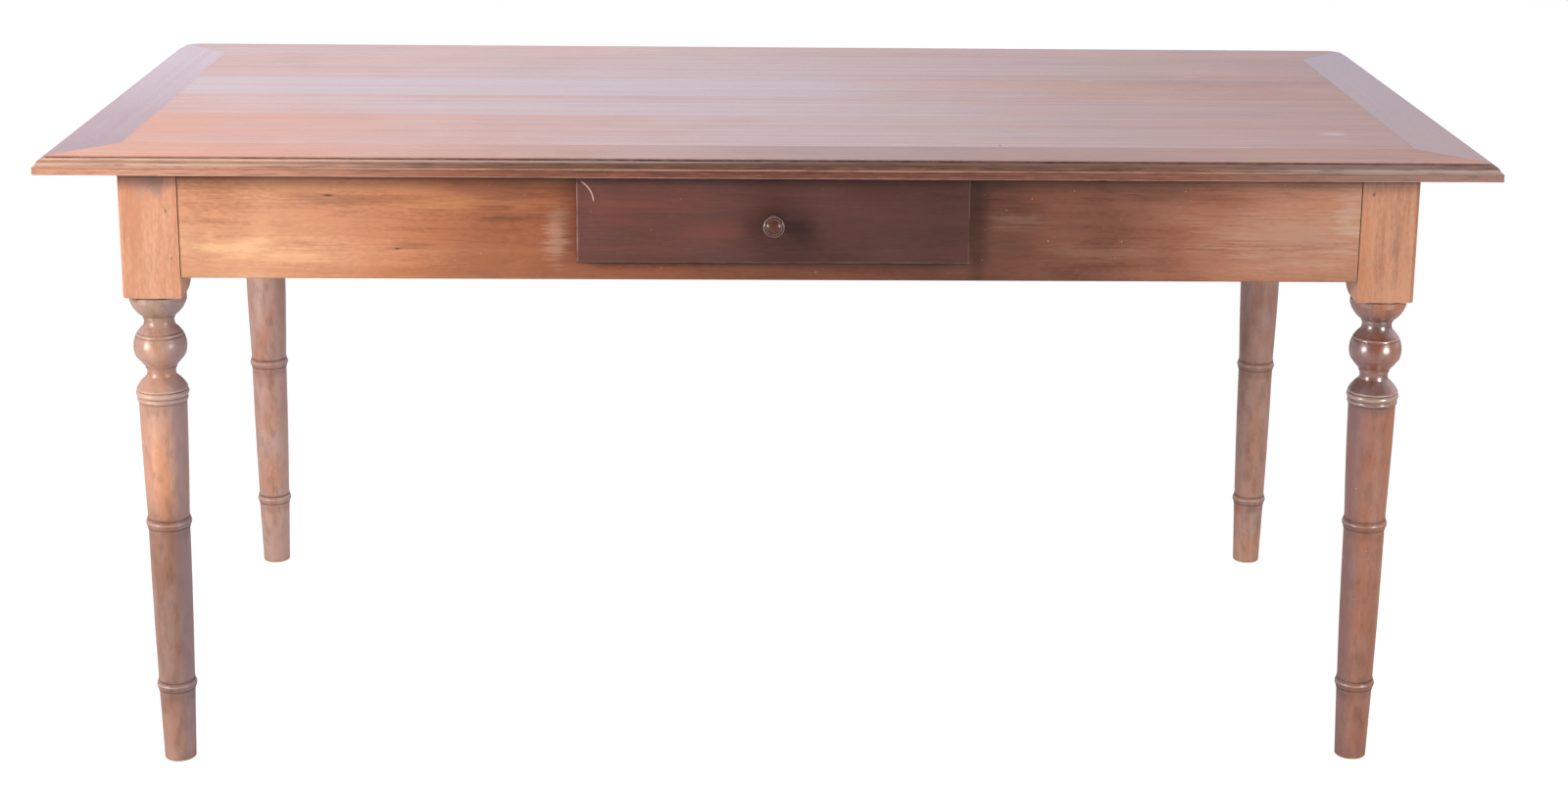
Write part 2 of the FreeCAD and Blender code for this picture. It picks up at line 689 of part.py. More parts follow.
def turned_outline():
    """Half of the turning, as (radius, height), from the floor up to the block."""
    def ring(level, shaft_radius):
        """A bead between two flat bands."""
        band_radius = shaft_radius + size.ring_band_step
        bead_foot = level - size.ring_bead_height / 2
        bead_head = level + size.ring_bead_height / 2
        return [
            (shaft_radius, bead_foot - size.ring_band_height),
            (band_radius, bead_foot - size.ring_band_height),
            (band_radius, bead_foot, Bulge(size.ring_bead_bulge)),
            (band_radius, bead_head),
            (band_radius, bead_head + size.ring_band_height),
        ]

    def ball(height):
        """Radius of the ball at a height above its middle."""
        return (size.ball_radius * size.ball_radius - height * height).root()

    rim_foot = block_bottom - size.quirk_height - size.cup_rim_height
    cup_foot = rim_foot - size.cup_height
    band_foot = cup_foot - size.neck_band_height
    ball_head = band_foot - size.upper_neck_height
    ball_middle = ball_head - size.ball_half_height
    cord_foot = ball_middle + size.cord_level
    cord_head = cord_foot + size.cord_height
    ball_foot = ball_middle - size.ball_half_height
    lower_band_foot = ball_foot - size.ball_band_height
    flare_head = lower_band_foot - size.lower_neck_height
    flare_foot = flare_head - size.flare_height
    edge_foot = flare_foot - size.collar_edge_height
    upper_bead_foot = edge_foot - size.upper_bead_height
    collar_foot = upper_bead_foot - size.lower_bead_height
    cut_radius = ball(size.ball_half_height)
    bead_radius = size.collar_edge_radius - size.collar_line_depth
    middle_ring = ring(size.middle_ring_level, size.shaft_waist_radius)
    middle_ring_head = middle_ring[-1][1]
    lower_ring = ring(size.lower_ring_level, size.shaft_ankle_radius)
    lower_ring_head = lower_ring[-1][1]
    return [
        (ZERO, ZERO),
        (size.foot_radius - size.foot_ease, ZERO),
        (size.foot_radius, size.foot_ease),
        *lower_ring,
        (size.shaft_ankle_radius, lower_ring_head, Bulge(size.shaft_swell)),
        *middle_ring,
        (size.shaft_waist_radius, middle_ring_head, Bulge(size.shaft_swell)),
        (size.shaft_top_radius, collar_foot, Bulge(size.lower_bead_bulge)),
        (bead_radius, upper_bead_foot, Bulge(size.upper_bead_bulge)),
        (bead_radius, edge_foot),
        (size.collar_edge_radius, edge_foot),
        (size.collar_edge_radius, flare_foot, Bulge(size.flare_bulge)),
        (size.lower_neck_radius, flare_head, Bulge(size.neck_hollow, -1)),
        (size.ball_band_radius - size.cord_sink, lower_band_foot),
        (size.ball_band_radius, lower_band_foot),
        (size.ball_band_radius, ball_foot),
        (size.ball_foot_radius, ball_foot, Bulge(size.ball_skirt_bulge)),
        (ball(size.ball_skirt_level), ball_middle - size.ball_skirt_level, Round(size.ball_radius)),
        (ball(size.cord_level), cord_foot),
        (ball(size.cord_level) - size.cord_sink, cord_foot, Bulge(size.cord_bulge)),
        (ball(size.cord_level + size.cord_height) - size.cord_sink, cord_head),
        (ball(size.cord_level + size.cord_height), cord_head, Round(size.ball_radius)),
        (cut_radius, ball_head, Bulge(size.neck_hollow, -1)),
        (size.neck_band_radius - size.cord_sink, band_foot),
        (size.neck_band_radius, band_foot),
        (size.neck_band_radius, cup_foot, Bulge(size.cup_bulge)),
        (size.cup_radius, rim_foot),
        (size.cup_radius, rim_foot + size.cup_rim_height),
        (size.cup_radius - size.quirk_depth, rim_foot + size.cup_rim_height),
        (size.cup_radius - size.quirk_depth, block_bottom + OVERCUT),
        (ZERO, block_bottom + OVERCUT),
    ]


def tenon_faces():
    """Where a tenon lies behind the outer face of a block, and its lower and upper edge."""
    near = size.apron_setback + size.tenon_setback
    low = apron_bottom + size.tenon_foot
    high = top_underside - size.tenon_head
    return near, near + size.tenon_thickness, low, high


def peg_levels():
    return [apron_bottom + size.peg_low_level, top_underside - size.peg_high_drop]


def leg(name, side_x, side_y, turn):
    """A leg about its own axis: its mortises are on +X and +Y, its show faces on -X and -Y."""
    body = new_body(name)
    block = new_sketch(body, f"{name}_block", "XY_Plane", forward=block_bottom)
    eased = size.block_ease - half_block
    draw_outline(block, [
        (-half_block, eased), (eased, -half_block), (half_block, -half_block),
        (half_block, half_block), (-half_block, half_block)])
    pad(body, block, size.block_length)

    # The block's inward corner is rounded off down to the cup.
    half_diagonal = half_block * math.sqrt(2)
    shoulder = new_sketch(body, f"{name}_shoulder", "XZ_Plane")
    draw_outline(shoulder, [
        (size.cup_radius, block_bottom - OVERCUT),
        (half_diagonal + OVERCUT, block_bottom - OVERCUT),
        (half_diagonal + OVERCUT, block_bottom + size.shoulder_height),
        (half_diagonal, block_bottom + size.shoulder_height, Bulge(size.shoulder_hollow, -1)),
        (size.cup_radius, block_bottom)])
    doc.recompute()
    before = body.Shape.Volume
    rounding = body.newObject("PartDesign::Groove", f"{name}_shoulder_cut")
    rounding.Profile = shoulder
    rounding.ReferenceAxis = (shoulder, ["V_Axis"])
    rounding.Angle = QUARTER_TURN
    rounding.Reversed = False
    doc.recompute()
    if body.Shape.Volume >= before:
        raise RuntimeError(f"{name} keeps its inward corner")

    near, far, low, high = tenon_faces()
    depth = size.tenon_length + size.mortise_gap
    mortise_x = new_sketch(body, f"{name}_mortise_x", "YZ_Plane", forward=half_block)
    draw_rectangle(mortise_x, near - half_block, low, far - half_block, high)
    pocket(body, mortise_x, depth)
    mortise_y = new_sketch(body, f"{name}_mortise_y", "XZ_Plane", forward=-half_block)
    draw_rectangle(mortise_y, near - half_block, low, far - half_block, high)
    pocket(body, mortise_y, depth, backwards=True)

    peg_place = half_block - size.peg_inset
    hole_radius = size.peg_radius + size.peg_gap
    pegs_y = new_sketch(body, f"{name}_pegs_y", "XZ_Plane", forward=half_block)
    pegs_x = new_sketch(body, f"{name}_pegs_x", "YZ_Plane", forward=-half_block)
    for level in peg_levels():
        draw_circle(pegs_y, peg_place, level, hole_radius)
        draw_circle(pegs_x, peg_place, level, hole_radius)
    pocket(body, pegs_y, size.peg_length)
    pocket(body, pegs_x, size.peg_length, backwards=True)

    turning = new_sketch(body, f"{name}_turning", "XZ_Plane")
    draw_outline(turning, turned_outline())
    doc.recompute()
    turned = body.newObject("PartDesign::Revolution", f"{name}_revolution")
    turned.Profile = turning
    turned.ReferenceAxis = (turning, ["V_Axis"])
    doc.recompute()
    place(body, x=leg_x * side_x, y=leg_y * side_y, turn=turn)
    return body


LEG_CORNERS = {
    "leg_front_left": (-1, -1, 0),
    "leg_front_right": (1, -1, QUARTER_TURN),
    "leg_back_right": (1, 1, HALF_TURN),
    "leg_back_left": (-1, 1, -QUARTER_TURN),
}


def legs():
    return [leg(name, *corner) for name, corner in LEG_CORNERS.items()]


def tenon_pegs():
    """Two pegs through each of the eight tenons, entered from the show faces."""
    pegs = []
    peg_place = half_block - size.peg_inset
    for name, (side_x, side_y, _) in LEG_CORNERS.items():
        corner_x = base_length / 2 * side_x
        corner_y = base_depth / 2 * side_y
        for number, level in enumerate(peg_levels()):
            through_long = doc.addObject("Part::Cylinder", f"{name}_long_peg_{number}")
            through_long.setExpression("Radius", size.peg_radius.text)
            through_long.setExpression("Height", size.peg_length.text)
            place(through_long, x=(leg_x - peg_place) * side_x, y=corner_y, z=level,
                  turn=QUARTER_TURN * side_y, axis=(1, 0, 0))
            through_end = doc.addObject("Part::Cylinder", f"{name}_end_peg_{number}")
            through_end.setExpression("Radius", size.peg_radius.text)
            through_end.setExpression("Height", size.peg_length.text)
            place(through_end, x=corner_x, y=(leg_y - peg_place) * side_y, z=level,
                  turn=-QUARTER_TURN * side_x, axis=(0, 1, 0))
            pegs.extend([through_long, through_end])
    return group("tenon_pegs", pegs)


# ---------------------------------------------------------------- the aprons

def apron(name, length):
    """A board with a tenon at each end and a groove for the buttons on its inner face.

    It is made with its outer face at y = 0 and its inner face on the +Y side."""
    body = new_body(name)
    section = new_sketch(body, f"{name}_section", "YZ_Plane")
    draw_outline(section, [
        (size.apron_ease, apron_bottom), (size.apron_thickness, apron_bottom),
        (size.apron_thickness, top_underside), (ZERO, top_underside),
        (ZERO, apron_bottom + size.apron_ease)])
    pad(body, section, length, symmetric=True)
    _, _, low, high = tenon_faces()
    tenon = new_sketch(body, f"{name}_tenon", "YZ_Plane")
    draw_rectangle(tenon, size.tenon_setback, low,
                   size.tenon_setback + size.tenon_thickness, high)
    pad(body, tenon, length + (size.shoulder_gap + size.tenon_length) * 2, symmetric=True)
    groove = new_sketch(body, f"{name}_groove", "YZ_Plane")
    draw_rectangle(groove, size.apron_thickness - size.button_groove_depth, button_groove_floor,
                   size.apron_thickness + OVERCUT, button_groove_roof)
    pocket(body, groove, length, symmetric=True)
    peg_place = length / 2 + size.shoulder_gap + size.peg_inset
    peg_holes = new_sketch(body, f"{name}_peg_holes", "XZ_Plane")
    for level in peg_levels():
        for side in (-1, 1):
            draw_circle(peg_holes, peg_place * side, level, size.peg_radius + size.peg_gap)
    pocket(body, peg_holes, size.apron_thickness)
    return body


def runner_housings(body, name):
    """Shallow housings on the inner face for the ends of the two runners."""
    roof = runner_top - size.runner_thickness + size.housing_height
    for side, label in ((-1, "left"), (1, "right")):
        low_x = runner_inner_x if side > 0 else -runner_outer_x
        high_x = runner_outer_x if side > 0 else -runner_inner_x
        box_feature("Pocket", body, f"{name}_housing_{label}",
                    (low_x, size.apron_thickness - size.housing_depth,
                     runner_top - size.runner_thickness),
                    (high_x, size.apron_thickness + OVERCUT, roof))


def aprons():
    front = apron("apron_front", long_apron_length)
    opening = new_sketch(front, "drawer_opening", "XZ_Plane")
    draw_rectangle(opening, -opening_half_width, opening_floor,
                   opening_half_width, top_underside + OVERCUT)
    pocket(front, opening, size.apron_thickness)
    runner_housings(front, "apron_front")
    place(front, y=-apron_face_y)
    back = apron("apron_back", long_apron_length)
    runner_housings(back, "apron_back")
    place(back, y=apron_face_y, turn=HALF_TURN)
    left = apron("apron_left", end_apron_length)
    place(left, x=-apron_face_x, turn=-QUARTER_TURN)
    right = apron("apron_right", end_apron_length)
    place(right, x=apron_face_x, turn=QUARTER_TURN)
    return [front, back, left, right]


# ---------------------------------------------------------------- buttons and screws

def long_button_places():
    """Screws of the buttons along the front and back aprons: x, y and the way outwards."""
    places = []
    for side_y in (-1, 1):
        for reach in (-long_button_far, -size.long_button_inner,
                      size.long_button_inner, long_button_far):
            places.append((reach, (apron_inside_y - button_screw_reach) * side_y, side_y))
    return places


def end_button_places():
    """Screws of the buttons along the end aprons: x, y and the way outwards."""
    places = []
    for side_x in (-1, 1):
        for side_y in (-1, 1):
            places.append(((apron_inside_x - button_screw_reach) * side_x,
                           size.end_button_place * side_y, side_x))
    return places


def button(name, x, y, turn):
    """A wooden button: its tongue lies in the apron's groove, its screw holds the top.

    It is made about its screw with the tongue towards -Y, and then turned."""
    body = new_body(name)
    half_width = size.button_width / 2
    near = -button_screw_reach
    box_feature("Pad", body, f"{name}_block", (-half_width, near, button_bottom),
                (half_width, near + size.button_length, top_underside))
    box_feature("Pad", body, f"{name}_tongue",
                (-half_width, near - size.button_groove_depth + size.button_gap, button_bottom),
                (half_width, near, button_groove_roof))
    hole = new_sketch(body, f"{name}_hole", "XY_Plane", forward=button_bottom)
    draw_circle(hole, ZERO, ZERO, size.screw_radius + size.screw_gap)
    pocket(body, hole, size.button_length, backwards=True)
    countersink(body, f"{name}_countersink", button_bottom, [ZERO])
    place(body, x=x, y=y, turn=turn)
    return body


def countersink(body, name, floor, rows):
    """Seats for screw heads in an underside, at the given places along Y."""
    for number, row in enumerate(rows):
        seat = new_sketch(body, f"{name}_{number}", "XZ_Plane", forward=-row)
        wide = size.screw_head_radius + size.screw_gap
        narrow = size.screw_radius + size.screw_gap
        draw_outline(seat, [
            (ZERO, floor), (wide, floor), (narrow, floor + size.screw_head_height),
            (ZERO, floor + size.screw_head_height)])
        doc.recompute()
        cut = body.newObject("PartDesign::Groove", f"{name}_{number}_cut")
        cut.Profile = seat
        cut.ReferenceAxis = (seat, ["V_Axis"])
        doc.recompute()


def top_buttons():
    pieces = []
    for number, (x, y, side_y) in enumerate(long_button_places()):
        pieces.append(button(f"long_button_{number}", x, y, 0 if side_y < 0 else HALF_TURN))
    for number, (x, y, side_x) in enumerate(end_button_places()):
        pieces.append(button(f"end_button_{number}", x, y, QUARTER_TURN * side_x))
    return group("top_buttons", pieces)


def wood_screw(name, x, y, head_level):
    """A slotted countersunk screw, driven upwards."""
    shank = doc.addObject("Part::Cylinder", f"{name}_shank")
    shank.setExpression("Radius", size.screw_radius.text)
    shank.setExpression("Height", size.screw_length.text)
    head = doc.addObject("Part::Cone", f"{name}_head")
    head.setExpression("Radius1", size.screw_head_radius.text)
    head.setExpression("Radius2", size.screw_radius.text)
    head.setExpression("Height", size.screw_head_height.text)
    slot = doc.addObject("Part::Box", f"{name}_slot")
    slot.setExpression("Length", (size.screw_head_radius * 2 + OVERCUT).text)
    slot.setExpression("Width", size.screw_slot_width.text)
    slot.setExpression("Height", (size.screw_slot_depth + OVERCUT).text)
    place(slot, x=-size.screw_head_radius - OVERCUT / 2, y=-size.screw_slot_width / 2, z=-OVERCUT)
    solid = doc.addObject("Part::Fuse", f"{name}_solid")
    solid.Base = shank
    solid.Tool = head
    screw = doc.addObject("Part::Cut", name)
    screw.Base = solid
    screw.Tool = slot
    place(screw, x=x, y=y, z=head_level)
    return screw


def kicker_screw_rows():
    """One screw through each kicker into the middle of every board."""
    return [-outer_board_middle, -inner_board_middle, inner_board_middle, outer_board_middle]


def wood_screws():
    pieces = []
    for number, (x, y, _) in enumerate(long_button_places() + end_button_places()):
        pieces.append(wood_screw(f"button_screw_{number}", x, y, button_bottom))
    for side in (-1, 1):
        for number, row in enumerate(kicker_screw_rows()):
            pieces.append(wood_screw(f"kicker_screw_{side + 1}_{number}",
                                     kicker_middle_x * side, row, kicker_bottom))
    return group("wood_screws", pieces)


# ---------------------------------------------------------------- what carries the drawer

def drawer_runner(name, side):
    """A rebated rail from apron to apron: the drawer's side rides on it and beside it."""
    body = new_body(name)

    def span(low, high):
        return (low, high) if side > 0 else (-high, -low)

    bearing_low, bearing_high = span(runner_inner_x, runner_outer_x)
    guide_low, guide_high = span(guide_inner_x, runner_outer_x)
    bottom = runner_top - size.runner_thickness
    box_feature("Pad", body, f"{name}_bearing",
                (bearing_low, -apron_inside_y, bottom), (bearing_high, apron_inside_y, runner_top))
    box_feature("Pad", body, f"{name}_guide",
                (guide_low, -apron_inside_y, runner_top),
                (guide_high, apron_inside_y, runner_top + size.guide_height))
    box_feature("Pad", body, f"{name}_ends",
                (bearing_low, -apron_inside_y - size.housing_depth, bottom),
                (bearing_high, apron_inside_y + size.housing_depth, bottom + size.housing_height))
    return body


def drawer_kicker(name, side):
    """A strip screwed under the top that keeps the open drawer from tipping."""
    body = new_body(name)
    middle = kicker_middle_x * side
    half_width = size.kicker_width / 2
    box_feature("Pad", body, f"{name}_strip",
                (-half_width, -apron_inside_y, kicker_bottom),
                (half_width, apron_inside_y, top_underside))
    holes = new_sketch(body, f"{name}_holes", "XY_Plane", forward=kicker_bottom)
    for row in kicker_screw_rows():
        draw_circle(holes, ZERO, row, size.screw_radius + size.screw_gap)
    pocket(body, holes, size.kicker_height, backwards=True)
    countersink(body, f"{name}_countersink", kicker_bottom, kicker_screw_rows())
    place(body, x=middle)
    return body


# ---------------------------------------------------------------- the drawer

def dovetails(shoulder_y, tip_y):
    """The two tails on one end of a drawer side, as outlines in (y, z)."""
    pitch = drawer_box_height / 2
    tails = []
    for number in range(2):
        low = drawer_box_bottom + pitch * number + size.dovetail_pin
        high = drawer_box_bottom + pitch * (number + 1) - size.dovetail_pin
        corners = [(shoulder_y, low), (tip_y, low - size.dovetail_slope),
                   (tip_y, high + size.dovetail_slope), (shoulder_y, high)]
        tails.append(corners)
    return tails


def side_groove(body, name):
    """The groove for the drawer's bottom, all round the inside of the box."""
    reach = size.drawer_groove_depth
    inner_x = drawer_half_width - size.drawer_wood
    groove_floor = drawer_box_bottom + size.drawer_groove_level
    box_feature("Pocket", body, name,
                (-inner_x - reach, rebate_back_y - reach, groove_floor),
                (inner_x + reach, drawer_back_y - size.drawer_wood + reach,
                 groove_floor + size.drawer_bottom_thickness))


def ease_face(body, face_y, ease):
    """Bevels the edges round a body's front face."""
    solid = body.Tip
    names = []
    for number, edge in enumerate(solid.Shape.Edges, start=1):
        if abs(edge.BoundBox.YMax - face_y.value) < SAME_PLACE:
            names.append(f"Edge{number}")
    bevel = body.newObject("PartDesign::Chamfer", f"{body.Name}_ease")
    bevel.Base = (solid, names)
    bevel.setExpression("Size", ease.text)
    doc.recompute()


def drawer_front():
    body = new_body("drawer_front")
    half_width = size.drawer_front_width / 2
    box_feature("Pad", body, "front_lip", (-half_width, drawer_face_y, drawer_front_bottom),
                (half_width, lip_back_y, drawer_front_top))
    ease_face(body, drawer_face_y, size.drawer_front_ease)
    box_feature("Pad", body, "front_rebate", (-drawer_half_width, lip_back_y, drawer_box_bottom),
                (drawer_half_width, rebate_back_y, drawer_box_top))
    for side, label in ((-1, "left"), (1, "right")):
        sockets = new_sketch(body, f"front_sockets_{label}", "YZ_Plane",
                             forward=drawer_half_width * side)
        for tail in dovetails(rebate_back_y, lip_back_y):
            draw_outline(sockets, tail)
        pocket(body, sockets, size.drawer_wood, backwards=side < 0)
    side_groove(body, "front_groove")
    hole = new_sketch(body, "knob_hole", "XZ_Plane", forward=-drawer_face_y)
    draw_circle(hole, ZERO, knob_level, size.knob_spigot_radius + size.knob_spigot_gap)
    pocket(body, hole, size.drawer_lip_thickness + size.drawer_rebate_thickness)
    return body


def drawer_side(name, side):
    body = new_body(name)
    outer_x = drawer_half_width * side
    inner_x = (drawer_half_width - size.drawer_wood) * side
    low_x, high_x = (inner_x, outer_x) if side > 0 else (outer_x, inner_x)
    back_shoulder = drawer_back_y - size.drawer_wood
    box_feature("Pad", body, f"{name}_board", (low_x, rebate_back_y, drawer_box_bottom),
                (high_x, back_shoulder, drawer_box_top))
    for label, tails in (("front", dovetails(rebate_back_y, lip_back_y)),
                         ("back", dovetails(back_shoulder, drawer_back_y))):
        for number, tail in enumerate(tails):
            outline = new_sketch(body, f"{name}_{label}_tail_{number}", "YZ_Plane", forward=low_x)
            draw_outline(outline, tail)
            pad(body, outline, size.drawer_wood)
    side_groove(body, f"{name}_groove")
    return body


def drawer_back():
    body = new_body("drawer_back")
    back_shoulder = drawer_back_y - size.drawer_wood
    box_feature("Pad", body, "back_board", (-drawer_half_width, back_shoulder, drawer_box_bottom),
                (drawer_half_width, drawer_back_y, drawer_box_top))
    for side, label in ((-1, "left"), (1, "right")):
        sockets = new_sketch(body, f"back_sockets_{label}", "YZ_Plane",
                             forward=drawer_half_width * side)
        for tail in dovetails(back_shoulder, drawer_back_y):
            draw_outline(sockets, tail)
        pocket(body, sockets, size.drawer_wood, backwards=side < 0)
    side_groove(body, "back_groove")
    return body


def drawer_bottom():
    body = new_body("drawer_bottom")
    reach = size.drawer_groove_depth - size.drawer_bottom_gap
    inner_x = drawer_half_width - size.drawer_wood
    floor = drawer_box_bottom + size.drawer_groove_level
    box_feature("Pad", body, "bottom_panel",
                (-inner_x - reach, rebate_back_y - reach, floor),
                (inner_x + reach, drawer_back_y - size.drawer_wood + reach,
                 floor + size.drawer_bottom_thickness))
    return body


def drawer_knob():
    """A turned knob, made upright about Z and then laid over to point forwards."""
    body = new_body("drawer_knob")
    outline = new_sketch(body, "knob_outline", "XZ_Plane")
    dish_level = size.knob_face_level - size.knob_dish_depth
    dome_radius = ((size.knob_dish_radius * size.knob_dish_radius
                    + size.knob_dome_height * size.knob_dome_height)
                   / (size.knob_dome_height * 2))
    draw_outline(outline, [
        (ZERO, -size.knob_spigot_length),
        (size.knob_spigot_radius, -size.knob_spigot_length),
        (size.knob_spigot_radius, ZERO),
        (size.knob_base_radius, ZERO),
        (size.knob_base_radius, size.knob_base_height, Bulge(size.knob_base_hollow, -1)),
        (size.knob_neck_radius, size.knob_neck_level, Bulge(size.knob_neck_hollow, -1)),
        (size.knob_head_radius, size.knob_head_level, Bulge(size.knob_head_bulge)),
        (size.knob_face_radius, size.knob_face_level),
        (size.knob_dish_radius, size.knob_face_level),
        (size.knob_dish_radius, dish_level, Round(dome_radius)),
        (ZERO, dish_level + size.knob_dome_height)])
    doc.recompute()
    turned = body.newObject("PartDesign::Revolution", "knob_revolution")
    turned.Profile = outline
    turned.ReferenceAxis = (outline, ["V_Axis"])
    doc.recompute()
    place(body, y=drawer_face_y, z=knob_level, turn=QUARTER_TURN, axis=(1, 0, 0))
    return body


# ---------------------------------------------------------------- the whole table

def build_table():
    """Every piece that has a node of its own."""
    return [
        *top_rails(),
        mitre_splines(),
        *top_boards(),
        *legs(),
        *aprons(),
        tenon_pegs(),
        top_buttons(),
        wood_screws(),
        drawer_runner("drawer_runner_left", -1),
        drawer_runner("drawer_runner_right", 1),
        drawer_kicker("drawer_kicker_left", -1),
        drawer_kicker("drawer_kicker_right", 1),
        drawer_front(),
        drawer_side("drawer_side_left", -1),
        drawer_side("drawer_side_right", 1),
        drawer_back(),
        drawer_bottom(),
        drawer_knob(),
    ]


def check_document(pieces):
    """Stops before anything is written if a feature failed or a shape is not sound."""
    for item in doc.Objects:
        if "Invalid" in item.State or "Error" in item.State:
            raise RuntimeError(f"{item.Label} is {item.State}")
    for piece in pieces:
        if piece.Shape.isNull() or not piece.Shape.isValid() or not piece.Shape.Solids:
            raise RuntimeError(f"{piece.Label} has no sound shape")


table_pieces = build_table()
doc.recompute()
check_document(table_pieces)
os.makedirs("parts", exist_ok=True)
for piece in table_pieces:
    piece.Shape.exportStep(f"parts/{piece.Label}.step")
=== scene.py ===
from math import pi

import bmesh
import bpy
from mathutils import Matrix, Vector

# An old farmhouse kitchen table in stained and waxed walnut, in a plain white studio.
# Metres. The floor is z = 0, the front of the table faces -Y, +X runs along its length.

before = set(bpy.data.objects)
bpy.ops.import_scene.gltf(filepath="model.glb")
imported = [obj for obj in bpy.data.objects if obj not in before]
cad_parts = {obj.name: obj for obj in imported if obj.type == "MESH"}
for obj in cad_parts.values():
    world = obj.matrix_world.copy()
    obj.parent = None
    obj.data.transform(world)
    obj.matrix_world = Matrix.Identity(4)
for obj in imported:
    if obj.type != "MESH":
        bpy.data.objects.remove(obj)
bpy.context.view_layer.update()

MM = 0.001

# The top: its outline, its boards, and the steps of its moulded edge.
TOP_HALF_LENGTH = 0.842
TOP_HALF_DEPTH = 0.425
FIELD_HALF_LENGTH = 0.760
FIELD_HALF_DEPTH = 0.333
BOARD_JOINTS = (-FIELD_HALF_DEPTH, -0.138, 0.0, 0.138, FIELD_HALF_DEPTH)
TOP_LEVEL = 0.759
QUIRK_FOOT = 0.7565
LEDGE = 0.7475
TOP_UNDERSIDE = 0.7385

# The drawer front and its knob.
DRAWER_HALF_WIDTH = 0.227
DRAWER_TOP = 0.7355
DRAWER_FOOT = 0.635
KNOB_LEVEL = 0.68275

# The blocks of the legs, and the heights of what is turned below them.
BLOCK_MIDDLE_X = 0.721
BLOCK_FRONT = -0.391
BLOCK_FOOT = 0.586
CUP_RIM = BLOCK_FOOT - 4 * MM
TURNING, TURNING_REACH = 0.515, 0.075
COLLAR, COLLAR_REACH = 0.464, 0.009
TURNED_LINES = (0.5580, 0.5385, 0.5335, 0.4958, 0.4684, 0.4605, 0.4535)
# Pale lines painted on the turning: part rubbed polish, part painted highlight.
PALE_LINES = (0.5362, 0.4980, 0.4700, 0.4570)
RINGS = (0.303, 0.096)

# Tones of the wood: dark, middle and light.
TOP_TONES = ("#B0745A", "#D4957A", "#E6B59C")
END_TONES = ("#8C6A6A", "#A28088", "#BA9AA0")
APRON_TONES = ("#BC805D", "#D9A07C", "#EAB893")
BLOCK_TONES = ("#B47A5A", "#D39B78", "#E8BA98")
DRAWER_TONES = ("#4E322D", "#633C35", "#7A473D")
KNOB_TONES = ("#35211B", "#4C2E25", "#684232")
BARE_TONES = ("#A98A66", "#C4A67E", "#D8C09A")
WARM_POLISH = "#E09266"
# Pale lavender of old wax bloom, which also stands in as a painted sheen.
BLOOM_AND_SHEEN = "#C9BAC3"
END_BLOOM_AND_SHEEN = "#CDBAC9"

# The sheen of the waxed top and of the polished base.
WAX = {"Coat Weight": 0.35, "Coat Roughness": 0.2}
WAX_ROUGHNESS = (0.24, 0.40)
GLOSS = {"Specular IOR Level": 0.4}

# How each leg has taken its stain: its dust, the least and most gloss of its turning, the tone and
# strength of the painted shade and light on its left and right side, and its tint by height.
LEGS = (
    ("leg_front_left", 0.15, (0.10, 0.24), ("#AE8880", 0.30), ("#AC98A2", 0.62), (
        (0.0, "#D2C8CC"), (0.12, "#AC9E9E"), (0.28, "#AEA0A0"), (0.35, "#FAEFE8"),
        (0.42, "#FFF3EC"), (0.446, "#ECE8EC"), (0.464, "#F2F0F2"), (0.485, "#EAE8EC"),
        (0.538, "#E6E6EC"), (0.558, "#C9D2DC"), (CUP_RIM, "#C4CED8"), (BLOCK_FOOT, "#F6ECEC"),
        (1.0, "#F6ECEC"))),
    ("leg_front_right", 0.10, (0.25, 1.0), ("#7C666C", 0.55), ("#D28C6C", 0.40), (
        (0.0, "#CCB6C0"), (0.12, "#CDB4AE"), (0.28, "#CAAEA4"), (0.36, "#CCAEA2"),
        (0.442, "#C8A89E"), (0.456, "#8C7A80"), (0.484, "#8A7476"), (0.498, "#B0806E"),
        (0.54, "#A87C6C"), (0.552, "#5E4C4C"), (0.570, "#CBB0A4"), (CUP_RIM, "#D8BCAE"),
        (BLOCK_FOOT, "#F9F3EE"), (1.0, "#F9F3EE"))),
    ("leg_back_left", 0.30, (0.10, 0.20), ("#B4908A", 0.35), ("#E4C4BE", 0.50), (
        (0.0, "#F4F2F4"), (0.12, "#E8E0EE"), (0.28, "#E6DCE8"), (0.50, "#E8DEEA"),
        (1.0, "#F0E8E4"))),
    ("leg_back_right", 0.25, (0.20, 0.40), ("#8C7472", 0.35), ("#D2A89A", 0.35), (
        (0.0, "#FFFCFF"), (0.12, "#FBF5FF"), (0.28, "#F2EAF6"), (0.38, "#D4C6CE"),
        (0.50, "#CDBEC2"), (1.0, "#E4D8D0"))))

# The camera's focal length and centre, in pixels of an image of this size.
IMAGE_WIDTH = 1600
IMAGE_HEIGHT = 802
FOCAL_LENGTH = 2764.5
CENTRE_X = 840.0
CENTRE_Y = 300.0


def colour(hex_code):
    """An sRGB hex value as a linear colour."""
    channels = []
    for start in (1, 3, 5):
        value = int(hex_code[start:start + 2], 16) / 255
        if value <= 0.04045:
            channels.append(value / 12.92)
        else:
            channels.append(((value + 0.055) / 1.055) ** 2.4)
    return (*channels, 1.0)


def grey(level):
    """A grey of that level as a linear colour."""
    return (level, level, level, 1.0)


def add_node(tree, kind, inputs=None, **settings):
    """Adds a node; a socket in inputs takes a plain value or the output that feeds it."""
    node = tree.nodes.new(kind)
    for name, value in settings.items():
        setattr(node, name, value)
    for socket, value in (inputs or {}).items():
        if isinstance(value, bpy.types.NodeSocket):
            tree.links.new(value, node.inputs[socket])
        else:
            node.inputs[socket].default_value = value
    return node


def math_node(tree, operation, *values):
    """A step of arithmetic."""
    return add_node(tree, "ShaderNodeMath", dict(enumerate(values)), operation=operation).outputs[0]


